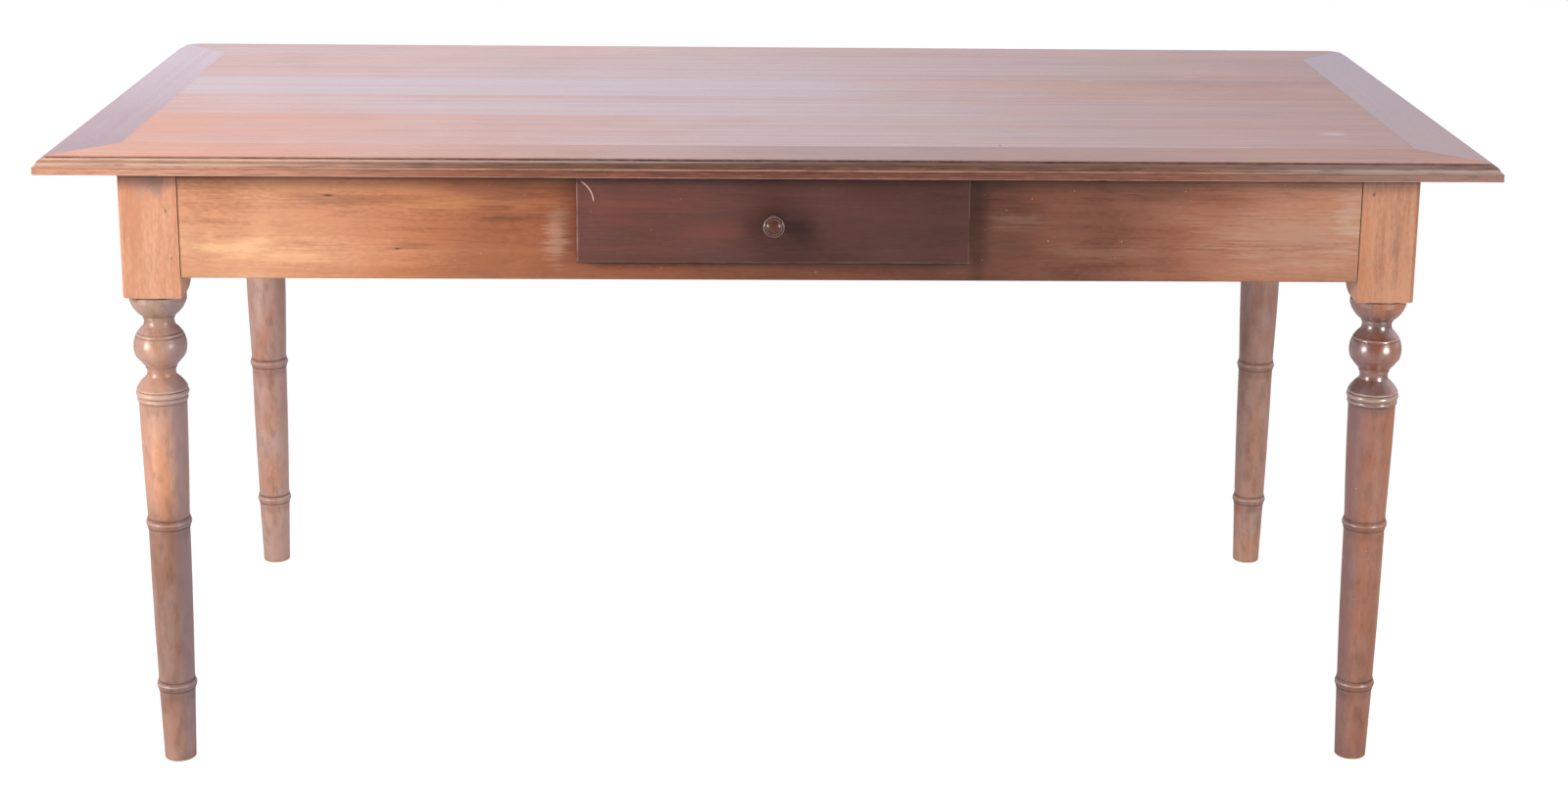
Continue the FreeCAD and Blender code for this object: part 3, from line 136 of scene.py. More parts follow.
def range_node(tree, value, low, high, to_low, to_high, course="LINEAR"):
    """Value, taken from the range low to high into another one and held inside it."""
    node = add_node(tree, "ShaderNodeMapRange",
                    {"Value": value, "From Min": low, "From Max": high,
                     "To Min": to_low, "To Max": to_high},
                    interpolation_type=course)
    return node.outputs["Result"]


def ramp_node(tree, value, stops):
    """The colour at value on a ramp of (place, colour) stops, from its first to its last."""
    node = add_node(tree, "ShaderNodeValToRGB", {"Fac": value})
    elements = node.color_ramp.elements
    for element, (place, tone) in zip(elements, (stops[0], stops[-1])):
        element.position = place
        element.color = tone
    for place, tone in stops[1:-1]:
        elements.new(place).color = tone
    return node.outputs[0]


def mix_shaders(tree, factor, first, second):
    """First where factor is 0, second where it is 1."""
    return add_node(tree, "ShaderNodeMixShader", {0: factor, 1: first, 2: second}).outputs[0]


class Shade:
    """A material in the making: short names for the steps that every finish needs."""

    def __init__(self, name):
        self.material = bpy.data.materials.new(name)
        self.material.use_nodes = True
        self.tree = self.material.node_tree
        self.tree.nodes.clear()
        coordinates = add_node(self.tree, "ShaderNodeTexCoord")
        self.place = coordinates.outputs["Object"]
        axes = add_node(self.tree, "ShaderNodeSeparateXYZ", {0: self.place})
        self.x, self.y, self.z = axes.outputs[0], axes.outputs[1], axes.outputs[2]

    def plus(self, first, second):
        return math_node(self.tree, "ADD", first, second)

    def minus(self, first, second):
        return math_node(self.tree, "SUBTRACT", first, second)

    def times(self, first, second):
        return math_node(self.tree, "MULTIPLY", first, second)

    def divided(self, first, second):
        return math_node(self.tree, "DIVIDE", first, second)

    def absolute(self, value):
        return math_node(self.tree, "ABSOLUTE", value)

    def root(self, value):
        return math_node(self.tree, "SQRT", value)

    def ramp(self, value, low, high, to_low=0.0, to_high=1.0):
        """A smooth rise of value from low to high."""
        return range_node(self.tree, value, low, high, to_low, to_high, "SMOOTHSTEP")

    def mix(self, factor, first, second, blend="MIX"):
        """Two colours mixed."""
        node = add_node(self.tree, "ShaderNodeMix", data_type="RGBA", blend_type=blend,
                        clamp_factor=True)
        for socket, value in ((0, factor), (6, first), (7, second)):
            if isinstance(value, bpy.types.NodeSocket):
                self.tree.links.new(value, node.inputs[socket])
            else:
                node.inputs[socket].default_value = value
        return node.outputs[2]

    def noise(self, size, detail=2.0, shift=(0.0, 0.0, 0.0), distortion=0.0):
        """Noise with cells of the given size along x, y and z, in millimetres."""
        mapping = add_node(self.tree, "ShaderNodeMapping", {
            "Vector": self.place,
            "Location": tuple(shift),
            "Scale": tuple(1 / (axis * MM) for axis in size)})
        node = add_node(self.tree, "ShaderNodeTexNoise", {
            "Vector": mapping.outputs[0], "Scale": 1.0, "Detail": detail,
            "Roughness": 0.55, "Distortion": distortion})
        return node.outputs[0]

    def near(self, value, middle, reach):
        """1 where value is at middle, falling to 0 at reach from it."""
        return self.ramp(self.absolute(self.minus(value, middle)), 0.0, reach, 1.0, 0.0)

    def patch(self, centre, half_size, edge=0.0, seen="xz"):
        """A soft-edged oval, seen from the front or, with xy, from above; edge makes it ragged."""
        total = 0.0
        for axis, middle, half in zip(seen, centre, half_size):
            away = self.divided(self.minus(getattr(self, axis), middle), half)
            total = self.plus(total, self.times(away, away))
        distance = self.plus(self.root(total), edge)
        return self.ramp(distance, 0.1, 1.0, 1.0, 0.0)

    def from_axis(self, x, z):
        """Distance from a line along y through x and z."""
        in_x = self.minus(self.x, x)
        in_z = self.minus(self.z, z)
        return self.root(self.plus(self.times(in_x, in_x), self.times(in_z, in_z)))

    def edges(self, radius):
        """1 on sharp edges, by comparing the surface with a bevelled one."""
        bevel = add_node(self.tree, "ShaderNodeBevel", {"Radius": radius}, samples=6)
        geometry = add_node(self.tree, "ShaderNodeNewGeometry")
        dot = add_node(self.tree, "ShaderNodeVectorMath",
                       {0: bevel.outputs[0], 1: geometry.outputs["Normal"]},
                       operation="DOT_PRODUCT")
        return self.ramp(dot.outputs["Value"], 0.97, 0.80)

    def hollows(self, reach):
        """1 deep in hollows and corners, where dirt gathers and shade falls."""
        node = add_node(self.tree, "ShaderNodeAmbientOcclusion", {"Distance": reach}, samples=8)
        return self.minus(1.0, node.outputs["AO"])

    def bump(self, height, depth):
        """A normal that follows a relief of the given depth."""
        node = add_node(self.tree, "ShaderNodeBump",
                        {"Height": height, "Distance": depth, "Strength": 1.0})
        return node.outputs[0]

    def finish(self, base, roughness, normal, **sockets):
        """The surface itself."""
        inputs = {"Base Color": base, "Roughness": roughness, "Normal": normal}
        inputs.update(sockets)
        surface = add_node(self.tree, "ShaderNodeBsdfPrincipled", inputs)
        add_node(self.tree, "ShaderNodeOutputMaterial", {0: surface.outputs[0]})
        return self.material


def along(grain, length, width):
    """Cell sizes for a pattern that is long in the way of the grain."""
    sizes = [width, width, width]
    sizes["XYZ".index(grain)] = length
    return sizes


class Walnut(Shade):
    """Stained and waxed walnut, from its long figure down to fibre and pores."""

    def __init__(self, name, grain, shift, tones, contrast=1.0, film=0.30, stretch=1.0):
        super().__init__(name)
        self.shift = shift
        dark, middle, light = [colour(tone) for tone in tones]
        self.flames = self.noise(along(grain, 430 * stretch, 42), 2.0, shift, 0.5)
        self.streaks = self.noise(along(grain, 190 * stretch, 8), 2.0, shift)
        self.fibre = self.noise(along(grain, 48 * stretch, 1.5), 2.0, shift)
        self.mottle = self.noise(along(grain, 9, 3.2), 3.0, shift)
        self.clouds = self.noise((150, 150, 150), 2.0, shift)
        self.pores = self.ramp(self.noise(along(grain, 11, 1.0), 1.0, shift), 0.64, 0.78)
        patterns = (
            (self.flames, 1.1 * contrast),
            (self.streaks, 0.7 * contrast),
            (self.fibre, 0.1 + 0.4 * contrast),
            (self.mottle, 0.25 + 0.4 * contrast),
            (self.clouds, 0.8))
        tone = 0.5
        for pattern, weight in patterns:
            tone = self.plus(tone, self.times(self.minus(pattern, 0.5), weight))
        self.base = self.mix(self.ramp(tone, 0.05, 0.5), dark, middle)
        self.base = self.mix(self.ramp(tone, 0.5, 0.95), self.base, light)
        # Growth lines follow the flames.
        rings = math_node(self.tree, "PINGPONG", self.times(self.flames, 7.0), 0.5)
        self.darken(self.ramp(rings, 0.09, 0.0), 0.13 * contrast)
        self.darken(self.pores, 0.16 * contrast)
        # A grey film of old polish lies in patches.
        patches = self.noise(along(grain, 130, 45), 3.0, (shift[0] + 3.0, shift[1], shift[2]))
        self.paint(self.ramp(patches, 0.48, 0.72), "#8C7468", film)

    def paint(self, mask, hex_code, strength=1.0):
        """Changes the tone where mask is high."""
        self.base = self.mix(self.times(mask, strength), self.base, colour(hex_code))

    def darken(self, mask, amount):
        """Takes the tone down where mask is high."""
        level = self.minus(1.0, self.times(mask, amount))
        shadow = add_node(self.tree, "ShaderNodeCombineColor",
                          {"Red": level, "Green": level, "Blue": level})
        self.base = self.mix(1.0, self.base, shadow.outputs[0], "MULTIPLY")

    def stain(self, value, stops):
        """Old stain and polish, a tint that changes with value through the stops."""
        tint = ramp_node(self.tree, value, [(place, colour(hex_code)) for place, hex_code in stops])
        self.base = self.mix(1.0, self.base, tint, "MULTIPLY")

    def along_table(self, ragged):
        """0 at the left end of the table to 1 at the right, with a ragged drift."""
        drift = self.times(self.minus(self.clouds, 0.5), ragged * 4)
        across = self.divided(self.x, 2 * TOP_HALF_LENGTH)
        return self.plus(self.plus(across, 0.5), drift)

    def bloom_and_sheen(self, grain, value, stops, tone=BLOOM_AND_SHEEN, swing=0.48):
        """A pale lavender in long streaks, stronger in places by value: the milky bloom of old wax, and a
        painted sheen for the white that the wax mirrors at a low angle.
        """
        broad = self.noise(along(grain, 1100, 12), 2.0, self.shift)
        narrow = self.noise(along(grain, 700, 3.5), 2.0, self.shift)
        streaks = self.times(self.plus(broad, narrow), 0.5)
        haze = ramp_node(self.tree, value, [(place, grey(level)) for place, level in stops])
        self.paint(self.times(haze, self.ramp(streaks, 0.34, 0.66, 1 - swing, 1 + swing)), tone)

    def joint_line(self, value, middle, strength):
        """The dark hairline where two boards meet."""
        waver = self.times(self.minus(self.noise((60, 60, 60)), 0.5), 0.8 * MM)
        line = self.near(self.plus(value, waver), middle, 1.4 * MM)
        self.darken(self.times(line, strength), 0.5)

    def wear(self, radius, hex_code, strength):
        """Polish rubbed off the edges, in places."""
        pale_mark = self.ramp(self.noise((16, 16, 16), 3.0, self.shift), 0.36, 0.60)
        self.paint(self.times(self.edges(radius), pale_mark), hex_code, strength)

    def grime_and_shade(self, reach, hex_code, strength):
        """Old wax and dirt left in the hollows, with painted shade; with a long reach it also darkens
        corners and the space under the overhang.
        """
        self.paint(self.ramp(self.hollows(reach), 0.15, 0.75), hex_code, strength)

    def knocks(self, hex_code="#EFD9CC"):
        """A few pale specks where the polish is chipped through."""
        specks = self.ramp(self.noise((2.6, 2.6, 2.6), 1.0, self.shift), 0.795, 0.83)
        self.paint(specks, hex_code, 0.8)

    def shade_under_top(self):
        """Painted shade under the overhang of the top, darkest right beneath it."""
        self.darken(self.ramp(self.z, TOP_UNDERSIDE - 26 * MM, TOP_UNDERSIDE), 0.35)
        self.darken(self.ramp(self.z, TOP_UNDERSIDE - 11.5 * MM, TOP_UNDERSIDE - 7.5 * MM), 0.60)

    def wood(self, roughness=(0.36, 0.50), relief=0.10, **sockets):
        """The finished wood: a little rougher in the pale streaks, with open pores."""
        rough = self.ramp(self.streaks, 0.30, 0.70, *roughness)
        height = self.minus(self.fibre, self.pores)
        return self.finish(self.base, rough, self.bump(height, relief * MM), **sockets)


def dress(node, material):
    """Gives a piece of the table its material."""
    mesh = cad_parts[node].data
    mesh.materials.clear()
    mesh.materials.append(material)


def dress_boards():
    """The four boards of the top, each its own plank with its own bloom and painted sheen from left to
    right.
    """
    boards = (
        ("top_board_front", 0.45, ((0.0, 0.06), (0.28, 0.36), (0.5, 0.66), (0.75, 0.50), (1.0, 0.32))),
        ("top_board_inner_front", 0.15, ((0.0, 0.40), (0.3, 0.68), (0.5, 0.80), (0.7, 0.48), (1.0, 0.28))),
        ("top_board_inner_back", 0.0, ((0.0, 0.90), (0.50, 1.0), (0.66, 0.45), (0.75, 0.20), (1.0, 0.20))),
        ("top_board_back", 0.1, ((0.0, 0.44), (0.5, 0.72), (0.75, 0.50), (1.0, 0.28))))
    for number, (name, warmth, haze) in enumerate(boards):
        wood = Walnut(f"waxed_walnut_board_{number}", "X", (3.7 * number, 1.3 * number, 0.0),
                      TOP_TONES, 0.75, 0.12, 2.4)
        wood.darken(wood.ramp(wood.x, -0.75, 0.5), 0.10)
        wood.paint(wood.ramp(wood.x, -0.15, -0.72), WARM_POLISH, warmth)
        wood.bloom_and_sheen("X", wood.along_table(0.10), haze)
        for joint in BOARD_JOINTS[number:number + 2]:
            wood.joint_line(wood.y, joint, wood.ramp(wood.x, -0.1, 0.25, 0.25, 1.0))
        wood.joint_line(wood.absolute(wood.x), FIELD_HALF_LENGTH, 0.6)
        wood.knocks()
        worn_boards(wood)
        dress(name, wood.wood(WAX_ROUGHNESS, 0.08, **WAX))


def worn_boards(wood):
    """A pale smudge, a few scratches and a dark dot on the boards."""
    wood.paint(wood.patch((0.682, -0.238), (0.024, 0.016), seen="xy"), "#EDE6EA", 0.5)
    for scratch in ((0.152, -0.319), (0.556, -0.326), (0.426, 0.140), (0.576, 0.174)):
        wood.paint(wood.patch(scratch, (0.022, 0.003), seen="xy"), "#F2E6E4", 0.6)
    wood.paint(wood.patch((0.268, -0.325), (0.003, 0.006), seen="xy"), "#3A2A26", 0.8)


def dress_rails():
    """The mitred rails round the boards: two that run with them, and two paler ones across their ends."""
    long_rails = (
        ("top_rail_front", ((0.0, 0.0), (0.3, 0.20), (0.5, 0.45), (0.8, 0.24), (1.0, 0.0))),
        ("top_rail_back", ((0.0, 0.54), (1.0, 0.48))))
    for number, (name, haze) in enumerate(long_rails):
        wood = Walnut(f"waxed_walnut_rail_{number}", "X", (5.1 * number, 2.9, 7.7 * number),
                      TOP_TONES, 0.75, 0.12, 2.4)
        wood.bloom_and_sheen("X", wood.along_table(0.10), haze)
        wood.joint_line(wood.absolute(wood.y), FIELD_HALF_DEPTH, 0.5)
        if name == "top_rail_front":
            wood.paint(wood.ramp(wood.x, -0.2, -0.7), WARM_POLISH, 0.35)
            wood.darken(wood.near(wood.x, 0.18, 0.75), 0.30)
        finish_rail(name, wood)
    end_rails = (
        ("top_rail_left", ((0.0, 0.15), (1.0, 0.95))),
        ("top_rail_right", ((0.0, 0.20), (1.0, 0.90))))
    for number, (name, haze) in enumerate(end_rails, start=len(long_rails)):
        wood = Walnut(f"waxed_walnut_rail_{number}", "Y", (5.1 * number, 2.9, 7.7 * number),
                      END_TONES, 0.30, 0.05, 1.5)
        wood.paint(wood.ramp(wood.x, 0.0, 0.1), "#DCBCB6", 0.60)
        wood.bloom_and_sheen("Y", wood.ramp(wood.y, -TOP_HALF_DEPTH, TOP_HALF_DEPTH), haze, END_BLOOM_AND_SHEEN, 0.14)
        finish_rail(name, wood)


def finish_rail(name, wood):
    """What every rail has: the line of its mitre, its moulded edge and its wax."""
    wood.joint_line(from_mitre(wood), 0.0, 0.7)
    moulding_tones(wood)
    moulding_lines(wood)
    wood.wear(1.0 * MM, "#E6C6AE", 0.75)
    wood.knocks("#E0A67E")
    dress(name, wood.wood(WAX_ROUGHNESS, 0.08, **WAX))


def from_mitre(wood):
    """How far a point lies from the mitre of its corner."""
    run = Vector((TOP_HALF_LENGTH - FIELD_HALF_LENGTH, TOP_HALF_DEPTH - FIELD_HALF_DEPTH)).normalized()
    in_x = wood.minus(wood.absolute(wood.x), FIELD_HALF_LENGTH)
    in_y = wood.minus(wood.absolute(wood.y), FIELD_HALF_DEPTH)
    return wood.minus(wood.times(in_x, run.y), wood.times(in_y, run.x))


def moulding_tones(wood):
    """The moulded edge: darker than the top, darkest in the middle of the table, and mottled, with a
    painted highlight on the lower half of its round at both ends.
    """
    profile = wood.ramp(wood.z, TOP_LEVEL - 0.9 * MM, TOP_LEVEL - 1.6 * MM)
    fillet = wood.ramp(wood.z, LEDGE + 0.3 * MM, LEDGE - 0.3 * MM)
    round_part = wood.near(wood.z, LEDGE + 2.8 * MM, 3.0 * MM)
    left = wood.ramp(wood.x, -0.30, -0.68)
    right = wood.ramp(wood.x, 0.46, 0.70)
    middle = wood.near(wood.x, 0.05, 0.80)
    blotches = wood.ramp(wood.noise((70, 70, 5), 3.0, wood.shift), 0.42, 0.60)
    flecks = wood.ramp(wood.noise((24, 24, 1.3), 4.0, wood.shift), 0.50, 0.66)
    smoke = wood.ramp(wood.noise((34, 34, 1.8), 4.0, wood.shift), 0.52, 0.34)
    embers = wood.ramp(wood.noise((26, 26, 5), 3.0, wood.shift), 0.46, 0.66)
    for part, where, tone, strength in (
            (profile, 1.0, "#8E6452", 0.92), (fillet, 1.0, "#AE6A50", 0.85),
            (profile, blotches, "#8C6C56", 0.35), (fillet, embers, "#C4764F", 0.45),
            (profile, middle, "#3C2826", 0.60), (fillet, middle, "#6A352C", 0.52),
            (profile, right, "#857570", 0.60), (profile, left, "#CC9A7E", 0.40),
            # round_part at the left and right ends: a painted highlight.
            (fillet, left, "#E2AE96", 0.45), (round_part, left, "#F0D8CA", 0.52),
            (round_part, right, "#CFC3BE", 0.55), (profile, smoke, "#2C1C1A", 0.42),
            (round_part, flecks, "#B48C68", 0.34), (fillet, flecks, "#B4684A", 0.50)):
        wood.paint(wood.times(part, where), tone, strength)


def moulding_lines(wood):
    """Dirt in the quirk, painted shadow under the ledge, and the polish rubbed off the ledge and the lower
    arris.
    """
    quirk = wood.near(wood.z, QUIRK_FOOT + 0.2 * MM, 1.1 * MM)
    wood.paint(wood.times(quirk, wood.ramp(wood.x, -0.7, 0.2, 0.45, 0.75)), "#2A1B17")
    # Painted shadow under the ledge.
    wood.darken(wood.near(wood.z, LEDGE - 1.0 * MM, 1.1 * MM), 0.45)
    patchy = wood.ramp(wood.noise((120, 120, 120), 4.0, wood.shift), 0.36, 0.60, 0.30, 1.0)
    for level, strength in ((LEDGE + 0.3 * MM, 0.62), (TOP_UNDERSIDE + 0.3 * MM, 0.40)):
        line = wood.times(wood.near(wood.z, level, 1.0 * MM), patchy)
        wood.paint(line, "#DDB69A", strength)


def dress_aprons():
    """The four aprons; the long ones are darkest where the drawer is."""
    aprons = (("apron_front", "X"), ("apron_back", "X"), ("apron_left", "Y"), ("apron_right", "Y"))
    for number, (name, grain) in enumerate(aprons):
        wood = Walnut(f"waxed_walnut_apron_{number}", grain, (2.3 * number, 0.7, 1.9 * number),
                      APRON_TONES, 0.85, 0.22)
        if grain == "X":
            wood.stain(wood.along_table(0.05), (
                (0.0, "#F2ECEA"), (0.14, "#FFFFFF"), (0.26, "#E2C6B4"), (0.34, "#B79A8C"),
                (0.63, "#76656A"), (0.68, "#988486"), (0.80, "#BFAAAC"), (0.87, "#D6CACE"),
                (1.0, "#ECE8EA")))
        if name == "apron_front":
            worn_apron(wood)
            shadows_beside_drawer(wood)
        wood.shade_under_top()
        # Its long reach also paints the shade under the top's overhang.
        wood.grime_and_shade(16 * MM, "#3A241A", 0.5)
        wood.wear(1.2 * MM, "#E0B48E", 0.6)
        wood.knocks()
        dress(name, wood.wood(**GLOSS))


def worn_apron(wood):
    """Marks of the long front apron: golden zones, pale rubs, dark flames and two knots."""
    ragged = wood.ramp(wood.noise((60, 26, 14), 3.0), 0.3, 0.7, -0.5, 0.5)
    streaky = wood.ramp(wood.noise((46, 20, 3), 3.0), 0.3, 0.7, -0.4, 0.4)
    for place, size, edge, tone, strength in (
            ((-0.620, 0.648), (0.075, 0.017), ragged, "#FFD6A2", 0.42),
            ((-0.560, 0.636), (0.050, 0.014), streaky, "#FFD29C", 0.35),
            ((-0.370, 0.701), (0.120, 0.013), streaky, "#E4A468", 0.38),
            ((-0.252, 0.664), (0.018, 0.040), streaky, "#D6BCA2", 0.30),
            ((0.286, 0.684), (0.044, 0.015), streaky, "#A88C7A", 0.24),
            ((0.382, 0.646), (0.080, 0.014), streaky, "#B48C74", 0.22),
            ((0.600, 0.666), (0.130, 0.046), streaky, "#CDB6A0", 0.26),
            ((0.672, 0.690), (0.024, 0.060), streaky, "#CDBBAA", 0.30)):
        wood.paint(wood.patch(place, size, edge), tone, strength)
    for flame, size in (((-0.49, 0.705), (0.13, 0.010)), ((-0.29, 0.684), (0.07, 0.007)),
                        ((-0.25, 0.712), (0.08, 0.014)), ((-0.42, 0.652), (0.03, 0.012)),
                        ((0.50, 0.712), (0.16, 0.014))):
        wood.darken(wood.patch(flame, size, streaky), 0.26)
    for knot, size in (((-0.514, 0.7095), (0.010, 0.0020)), ((-0.436, 0.6465), (0.006, 0.0016))):
        wood.paint(wood.patch(knot, size), "#2A1A14", 0.85)


def shadows_beside_drawer(wood):
    """Painted shadow of the drawer front on the apron at its right and as a dark line beneath its lipped
    front, and two broad darker bands across the apron.
    """
    # Painted shadow right of the drawer at x 0.238; broader darker bands at x -0.335 and 0.36.
    for x, reach, amount in ((0.238, 0.014, 0.34), (-0.335, 0.10, 0.16), (0.36, 0.18, 0.12)):
        wood.darken(wood.near(wood.x, x, reach), amount)
    # Painted shadow line on the apron just beneath the drawer front.
    under_drawer = wood.ramp(wood.absolute(wood.x), DRAWER_HALF_WIDTH + 2 * MM, DRAWER_HALF_WIDTH - 3 * MM)
    line = wood.near(wood.z, DRAWER_FOOT - 3.2 * MM, 3.2 * MM)
    wood.darken(wood.times(line, under_drawer), 0.75)


def dress_legs():
    """Four turned legs: each has taken the stain in its own way, from foot to block."""
    for number, (name, dust, gloss, left, right, stops) in enumerate(LEGS):
        wood = Walnut(f"waxed_walnut_leg_{number}", "Z", (1.7 * number, 3.1 * number, 0.4),
                      BLOCK_TONES, 0.65, 0.18)
        wood.stain(wood.z, stops)
        turned = wood.ramp(wood.z, BLOCK_FOOT, CUP_RIM)
        dusty = wood.ramp(wood.noise((26, 26, 60), 3.0, wood.shift), 0.34, 0.66, 0.3, 1.7)
        wood.paint(wood.times(wood.times(dusty, dust), turned), "#C9B8B4")
        spots = wood.ramp(wood.noise((10, 10, 26), 3.0, wood.shift), 0.45, 0.68)
        wood.darken(wood.times(spots, turned), 0.22)
        painted_side_light(wood, turned, left, right)
        block_marks(wood)
        wood.shade_under_top()
        turned_lines(wood)
        foot_marks(wood, name)
        wood.grime_and_shade(7 * MM, "#3A231A", 0.6)
        wood.wear(1.6 * MM, "#D9B59A", 0.45)
        wood.knocks()
        coat = wood.ramp(wood.near(wood.z, TURNING, TURNING_REACH), 0.0, 0.35, *gloss)
        polish = {"Coat Weight": coat, "Coat Roughness": 0.27, "Coat IOR": 2.0}
        dress(name, wood.wood(**GLOSS, **polish))


def painted_side_light(wood, turned, left, right):
    """Painted light on a leg's turning: its left side darker as painted shade, its right side paler as
    painted light and reflection.
    """
    away = wood.minus(wood.absolute(wood.x), BLOCK_MIDDLE_X)
    to_right = wood.times(away, math_node(wood.tree, "SIGN", wood.x))
    for start, end, (tone, strength) in ((-5 * MM, -21 * MM, left), (5 * MM, 22 * MM, right)):
        side = wood.ramp(to_right, start, end)
        wood.paint(wood.times(side, turned), tone, strength)


def block_marks(wood):
    """Clouds in the polish of the front blocks, and the dark slits beside their pegs."""
    ragged = wood.ramp(wood.noise((12, 12, 30), 3.0, wood.shift), 0.3, 0.7, -0.4, 0.4)
    front = wood.ramp(wood.y, BLOCK_FRONT + 5 * MM, BLOCK_FRONT + 2 * MM)
    for place, size, tone, strength in (
            ((-0.708, 0.722), (0.020, 0.016), "#8B776C", 0.55),
            ((-0.724, 0.724), (0.040, 0.026), "#9C8C8A", 0.30),
            ((-0.742, 0.700), (0.010, 0.030), "#C98C72", 0.35),
            ((0.731, 0.650), (0.008, 0.060), "#83604F", 0.50),
            ((0.706, 0.722), (0.016, 0.012), "#7E5E50", 0.30),
            ((0.694, 0.655), (0.008, 0.070), "#D0824F", 0.40)):
        cloud = wood.times(wood.patch(place, size, ragged), front)
        wood.paint(cloud, tone, strength)
    for slit, size in (((-0.7005, 0.690), (0.0018, 0.0050)), ((-0.6960, 0.634), (0.0016, 0.0030)),
                       ((0.7000, 0.7165), (0.0030, 0.0040))):
        wood.paint(wood.patch(slit, size), "#3A2720", 0.7)


def turned_lines(wood):
    """The collar painted pale, dirt in the turned lines and beside the rings, pale lines on the arrises,
    painted highlights on the rings' crowns and painted shade beneath the rings.
    """
    # The collar's pale paint: part rubbed polish, part painted highlight.
    wood.paint(wood.near(wood.z, COLLAR, COLLAR_REACH), "#E2C6B8", 0.40)
    broken = wood.ramp(wood.noise((22, 22, 22), 3.0, wood.shift), 0.32, 0.62, 0.35, 1.0)
    for level in TURNED_LINES:
        wood.darken(wood.times(wood.near(wood.z, level, 1.3 * MM), broken), 0.42)
    # Pale lines on the arrises: part rubbed polish, part painted highlight.
    for level in PALE_LINES:
        wood.paint(wood.times(wood.near(wood.z, level, 1.2 * MM), broken), "#E8D0C0", 0.45)
    for ring in RINGS:
        away = wood.absolute(wood.minus(wood.z, ring))
        wood.darken(wood.near(away, 0.0, 6.5 * MM), 0.16)
        wood.darken(wood.near(away, 5.8 * MM, 2.0 * MM), 0.60)
        # Painted highlight on the crown of each ring.
        crown = wood.near(wood.z, ring + 1.5 * MM, 1.3 * MM)
        wood.paint(wood.times(crown, broken), "#F0DED2", 0.40)
        # Painted shade beneath each ring.
        wood.darken(wood.near(wood.z, ring - 12 * MM, 10 * MM), 0.16)


def foot_marks(wood, name):
    """The foot's edge chipped down to the bare wood, and a pale smear on the right front foot."""
    chips = wood.ramp(wood.noise((9, 9, 5), 3.0, wood.shift), 0.44, 0.54)
    rim = wood.ramp(wood.z, 3.4 * MM, 1.6 * MM)
    wood.paint(wood.times(rim, chips), "#CDA46C", 0.85)
    if name == "leg_front_right":
        wood.paint(wood.patch((0.7165, 0.0155), (0.0055, 0.0026), chips), "#F0DCD4", 0.8)


def dress_pegs():
    """The pegs of the blocks: end grain, which takes the polish darker."""
    wood = Walnut("waxed_peg_end_grain", "Z", (0.3, 8.0, 0.0), BLOCK_TONES, 0.5, 0.18)
    block_marks(wood)
    wood.shade_under_top()
    wood.darken(1.0, 0.12)
    dress("tenon_pegs", wood.wood())


def dress_drawer_front():
    """The dark drawer front: redder on the left, dirty round the knob, with the knob's shadow and the
    shade under the top painted on.
    """
    wood = Walnut("dark_waxed_drawer_front", "X", (7.7, 0.3, 4.4), DRAWER_TONES, 0.8, 0.06)
    wood.stain(wood.along_table(0.03), (
        (0.36, "#FFFFFF"), (0.42, "#FFF6F2"), (0.5, "#DFD2D2"), (0.64, "#D9D4D8")))
    streaky = wood.ramp(wood.streaks, 0.3, 0.7, -0.5, 0.5)
    for place, size, strength in (
            ((-0.150, 0.702), (0.12, 0.012), 0.55), ((-0.070, 0.668), (0.05, 0.020), 0.35),
            ((-0.185, 0.690), (0.05, 0.016), 0.35)):
        wood.paint(wood.patch(place, size, streaky), "#8C4632", strength)
    # Dirt round the knob, and the knob's shadow painted to its lower right.
    for place, size, amount in (
            ((0.004, KNOB_LEVEL), (0.055, 0.040), 0.30),
            ((0.032, KNOB_LEVEL - 4 * MM), (0.030, 0.022), 0.28)):
        wood.darken(wood.patch(place, size), amount)
    # Painted shade under the top.
    wood.darken(wood.near(wood.z, DRAWER_TOP - 3.5 * MM, 16 * MM), 0.25)
    wood.darken(wood.ramp(wood.z, DRAWER_TOP - 4.0 * MM, DRAWER_TOP - 1.5 * MM), 0.55)
    wood.paint(wood.ramp(wood.clouds, 0.3, 0.7, 0.6, 1.4), "#77625E", 0.14)
    crescent(wood)
    wood.grime_and_shade(6 * MM, "#241613", 0.7)
    rubbed_lip(wood)
    wood.knocks()
    dress("drawer_front", wood.wood((0.34, 0.48), 0.08, **{"Specular IOR Level": 0.3}))


def crescent(wood):
    """The pale bow-shaped scratch in the drawer front's upper left corner."""
    centre_x, centre_z, bow, reach = -0.236, 0.706, 0.0285, 0.0012
    line = wood.near(wood.from_axis(centre_x, centre_z), bow, reach)
    corner = wood.times(wood.ramp(wood.x, centre_x + 12 * MM, centre_x + 18 * MM),
                        wood.ramp(wood.z, centre_z, centre_z + 4 * MM))
    wood.paint(wood.times(line, corner), "#E6C4B2", 0.85)


def rubbed_lip(wood):
    """The polish rubbed off the left, right and lower arris of the drawer front."""
    patchy = wood.ramp(wood.noise((22, 22, 22), 3.0), 0.34, 0.60, 0.2, 1.0)
    inset = 0.6 * MM
    for value, place, strength in ((wood.x, inset - DRAWER_HALF_WIDTH, 0.50),
                                   (wood.x, DRAWER_HALF_WIDTH - inset, 0.22),
                                   (wood.z, DRAWER_FOOT + inset, 0.25)):
        line = wood.times(wood.near(value, place, 1.0 * MM), patchy)
        wood.paint(line, "#D8B6A6", strength)


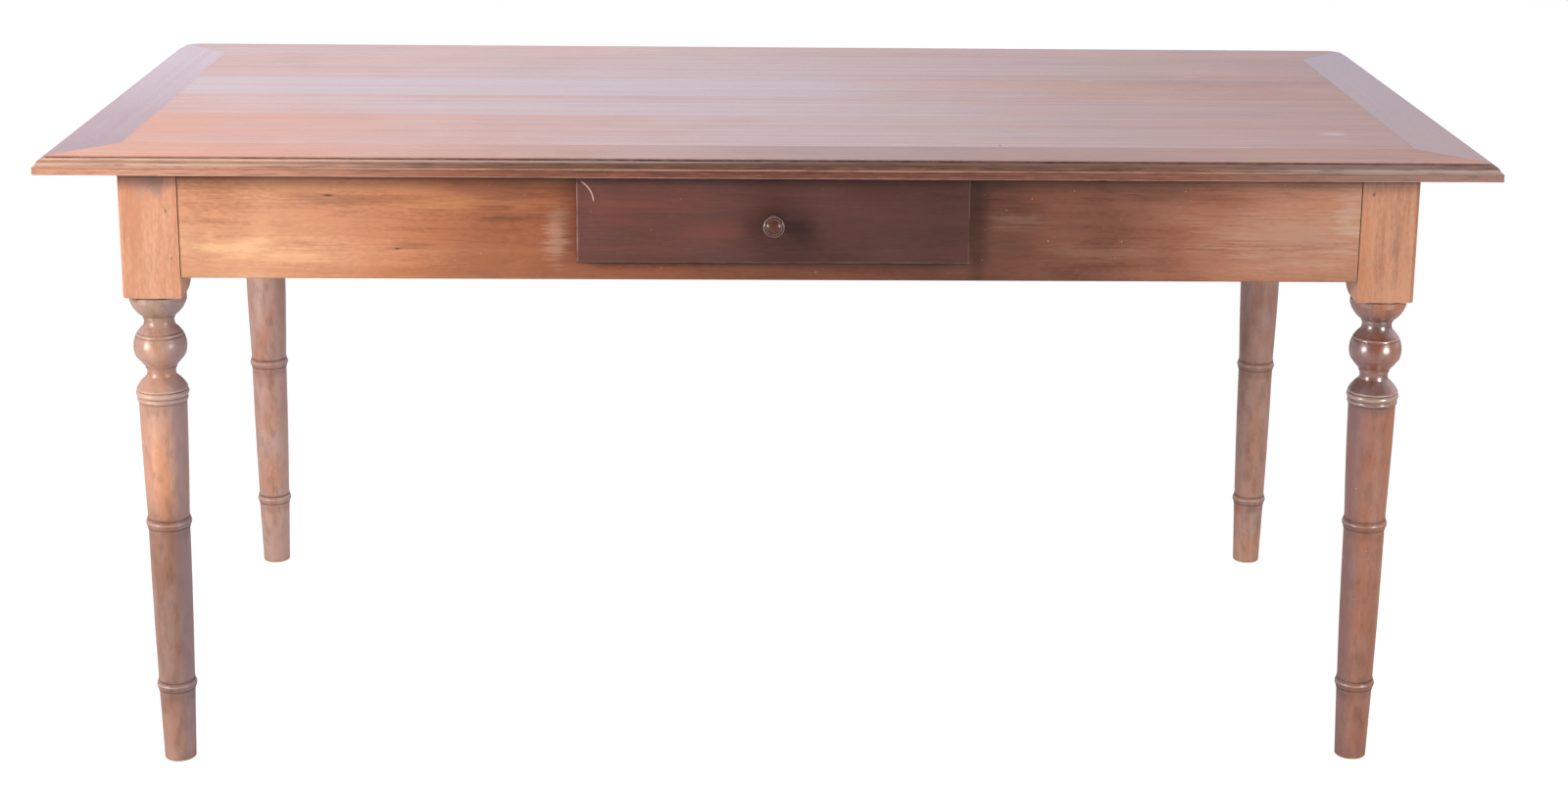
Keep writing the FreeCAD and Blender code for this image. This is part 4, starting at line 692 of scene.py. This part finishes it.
def dress_knob():
    """The turned knob: a brown dome in a rim, and a collar behind it, each with a painted highlight ring.
    """
    wood = Walnut("dark_polished_knob", "Y", (1.7, 0.3, 0.4), KNOB_TONES, 0.5, 0.05)
    radius = wood.from_axis(0.0, KNOB_LEVEL)
    wood.paint(wood.ramp(radius, 8.0 * MM, 6.5 * MM), "#643429", 0.6)
    wood.grime_and_shade(4 * MM, "#140C0A", 0.8)
    wood.darken(wood.near(radius, 10.3 * MM, 1.2 * MM), 0.75)
    # Painted highlight rings on the collar and on the rim.
    for pale_mark, strength in ((11.8 * MM, 0.60), (8.8 * MM, 0.40)):
        wood.paint(wood.near(radius, pale_mark, 0.7 * MM), "#C4A4A6", strength)
    coat = wood.ramp(radius, 6.0 * MM, 8.2 * MM, 0.12, 0.8)
    polish = {"Specular IOR Level": 0.3, "Coat Weight": coat, "Coat Roughness": 0.10}
    dress("drawer_knob", wood.wood((0.30, 0.42), 0.03, **polish))


def dress_inside():
    """The pieces out of sight: planed beech that was never stained."""
    pieces = (
        ("drawer_side_left", "Y"), ("drawer_side_right", "Y"), ("drawer_back", "X"),
        ("drawer_bottom", "X"), ("drawer_runner_left", "Y"), ("drawer_runner_right", "Y"),
        ("drawer_kicker_left", "Y"), ("drawer_kicker_right", "Y"), ("top_buttons", "X"))
    for number, (name, grain) in enumerate(pieces):
        dress(name, bare_wood(f"planed_beech_{number}", grain, number))
    dress("mitre_splines", bare_wood("planed_beech_spline", "X", 1))


def bare_wood(name, grain, number):
    """Planed wood that was never stained, gone brown with age."""
    wood = Walnut(name, grain, (number * 4.3, number, 0.0), BARE_TONES, 0.7)
    wood.grime_and_shade(20 * MM, "#6B4B31", 0.45)
    wood.wear(1.0 * MM, "#E2CDA8", 0.4)
    return wood.wood((0.55, 0.70), 0.2)


def dress_screws():
    """Old slotted steel screws: bright once, now dull with a brown film in the slot."""
    steel = Shade("dulled_steel_screw")
    film = steel.ramp(steel.noise((2, 2, 2), 3.0), 0.40, 0.62)
    base = steel.mix(film, colour("#8E8A84"), colour("#5B4A3C"))
    rough = steel.ramp(film, 0.0, 1.0, 0.32, 0.6)
    dress("wood_screws", steel.finish(base, rough, steel.bump(film, 0.05 * MM), Metallic=1.0))


def light_world():
    """Soft light all round, white to the eye.

    Wax mirrors a pale wall behind the table, brighter on the left, and a dim room in front.
    """
    world = bpy.data.worlds.new("studio_white")
    world.use_nodes = True
    tree = world.node_tree
    tree.nodes.clear()
    path = add_node(tree, "ShaderNodeLightPath").outputs
    way = add_node(tree, "ShaderNodeTexCoord")
    axes = add_node(tree, "ShaderNodeSeparateXYZ", {0: way.outputs["Generated"]})
    to_right, to_back = axes.outputs[0], axes.outputs[1]
    wall = range_node(tree, to_right, -0.2, 0.2, 0.74, 0.52)
    ends = range_node(tree, math_node(tree, "ABSOLUTE", to_right), 0.35, 0.75, 0.0, 0.6)
    behind = range_node(tree, to_back, -0.45, 0.15, 0.2, 1.0)
    mirrored = math_node(tree, "MULTIPLY", math_node(tree, "ADD", wall, ends), behind)
    soft = background(tree, "#F6F7FF", 0.32)
    lit = mix_shaders(tree, path["Is Glossy Ray"], soft, background(tree, "#F2F3FF", mirrored))
    seen = math_node(tree, "MAXIMUM", path["Is Camera Ray"], path["Is Transmission Ray"])
    shown = mix_shaders(tree, seen, lit, background(tree, "#FFFFFF", 1.0))
    add_node(tree, "ShaderNodeOutputWorld", {0: shown})
    bpy.context.scene.world = world


def background(tree, hex_code, strength):
    """Light of one colour from afar."""
    node = add_node(tree, "ShaderNodeBackground", {"Color": colour(hex_code), "Strength": strength})
    return node.outputs[0]


def lay_floor():
    """White paper underfoot, which shows as a white ground and keeps the table's shadow."""
    half_size = 30.0
    paper_level = 0.8
    shown_level, shown_glow = 0.24, 0.92
    mesh = bpy.data.meshes.new("studio_floor")
    shape = bmesh.new()
    bmesh.ops.create_grid(shape, x_segments=1, y_segments=1, size=half_size)
    shape.to_mesh(mesh)
    shape.free()
    floor = bpy.data.objects.new("studio_floor", mesh)
    bpy.context.scene.collection.objects.link(floor)
    material = bpy.data.materials.new("white_studio_paper")
    material.use_nodes = True
    tree = material.node_tree
    tree.nodes.clear()
    path = add_node(tree, "ShaderNodeLightPath")
    paper = add_node(tree, "ShaderNodeBsdfDiffuse", {"Color": grey(paper_level)})
    faint = add_node(tree, "ShaderNodeBsdfDiffuse", {"Color": grey(shown_level)})
    glow = add_node(tree, "ShaderNodeEmission", {"Color": grey(1.0), "Strength": shown_glow})
    shown = add_node(tree, "ShaderNodeAddShader", {0: faint.outputs[0], 1: glow.outputs[0]})
    both = mix_shaders(tree, path.outputs["Is Camera Ray"], paper.outputs[0], shown.outputs[0])
    add_node(tree, "ShaderNodeOutputMaterial", {0: both})
    mesh.materials.append(material)


def hang_lamps():
    """Soft lamps on the left, on the right and above.

    The two that light the table from its sides would glare in the wax of its top, so the wax
    doesn't mirror them: it mirrors two lamps that stand lower, beside the turned legs.
    """
    front = (0.0, -0.3, 0.65)
    lamp("soft_lamp_left", (-2.4, -1.9, 1.6), 0.6, 62.0, front).visible_glossy = False
    lamp("soft_lamp_right", (2.0, -2.15, 1.38), 0.75, 25.0, front).visible_glossy = False
    lamp("shine_left", (-2.4, -1.9, 0.66), 0.8, 48.0, front).visible_diffuse = False
    lamp("shine_right", (2.0, -2.15, 0.66), 0.6, 34.0, front).visible_diffuse = False
    lamp("soft_lamp_above", (-0.9, 0.5, 2.7), 1.6, 32.0, (-0.1, 0.1, 0.76))


def lamp(name, place, size, power, aim):
    """A square soft lamp that looks at aim."""
    light = bpy.data.lights.new(name, "AREA")
    light.shape = "SQUARE"
    light.size = size
    light.energy = power
    light.color = colour("#FFF6EE")[:3]
    item = bpy.data.objects.new(name, light)
    way = Vector(aim) - Vector(place)
    item.matrix_world = Matrix.Translation(place) @ way.to_track_quat("-Z", "Y").to_matrix().to_4x4()
    bpy.context.scene.collection.objects.link(item)
    return item


def place_camera():
    """The camera, in front of the table and a little above it."""
    place = (-0.04305, -3.46138, 1.36690)
    yaw, pitch, roll = -0.03313, 0.24632, 0.01175
    data = bpy.data.cameras.new("camera")
    data.sensor_width = 36.0
    data.lens = FOCAL_LENGTH * data.sensor_width / IMAGE_WIDTH
    data.shift_x = (IMAGE_WIDTH / 2 - CENTRE_X) / IMAGE_WIDTH
    data.shift_y = (CENTRE_Y - IMAGE_HEIGHT / 2) / IMAGE_WIDTH
    camera = bpy.data.objects.new("camera", data)
    camera.matrix_world = (
        Matrix.Translation(place)
        @ Matrix.Rotation(yaw, 4, "Z") @ Matrix.Rotation(pi / 2 - pitch, 4, "X")
        @ Matrix.Rotation(roll, 4, "Z"))
    bpy.context.scene.collection.objects.link(camera)
    bpy.context.scene.camera = camera


dress_boards()
dress_rails()
dress_aprons()
dress_legs()
dress_pegs()
dress_drawer_front()
dress_knob()
dress_inside()
dress_screws()
light_world()
lay_floor()
hang_lamps()
place_camera()
bpy.context.scene.view_settings.view_transform = "Standard"
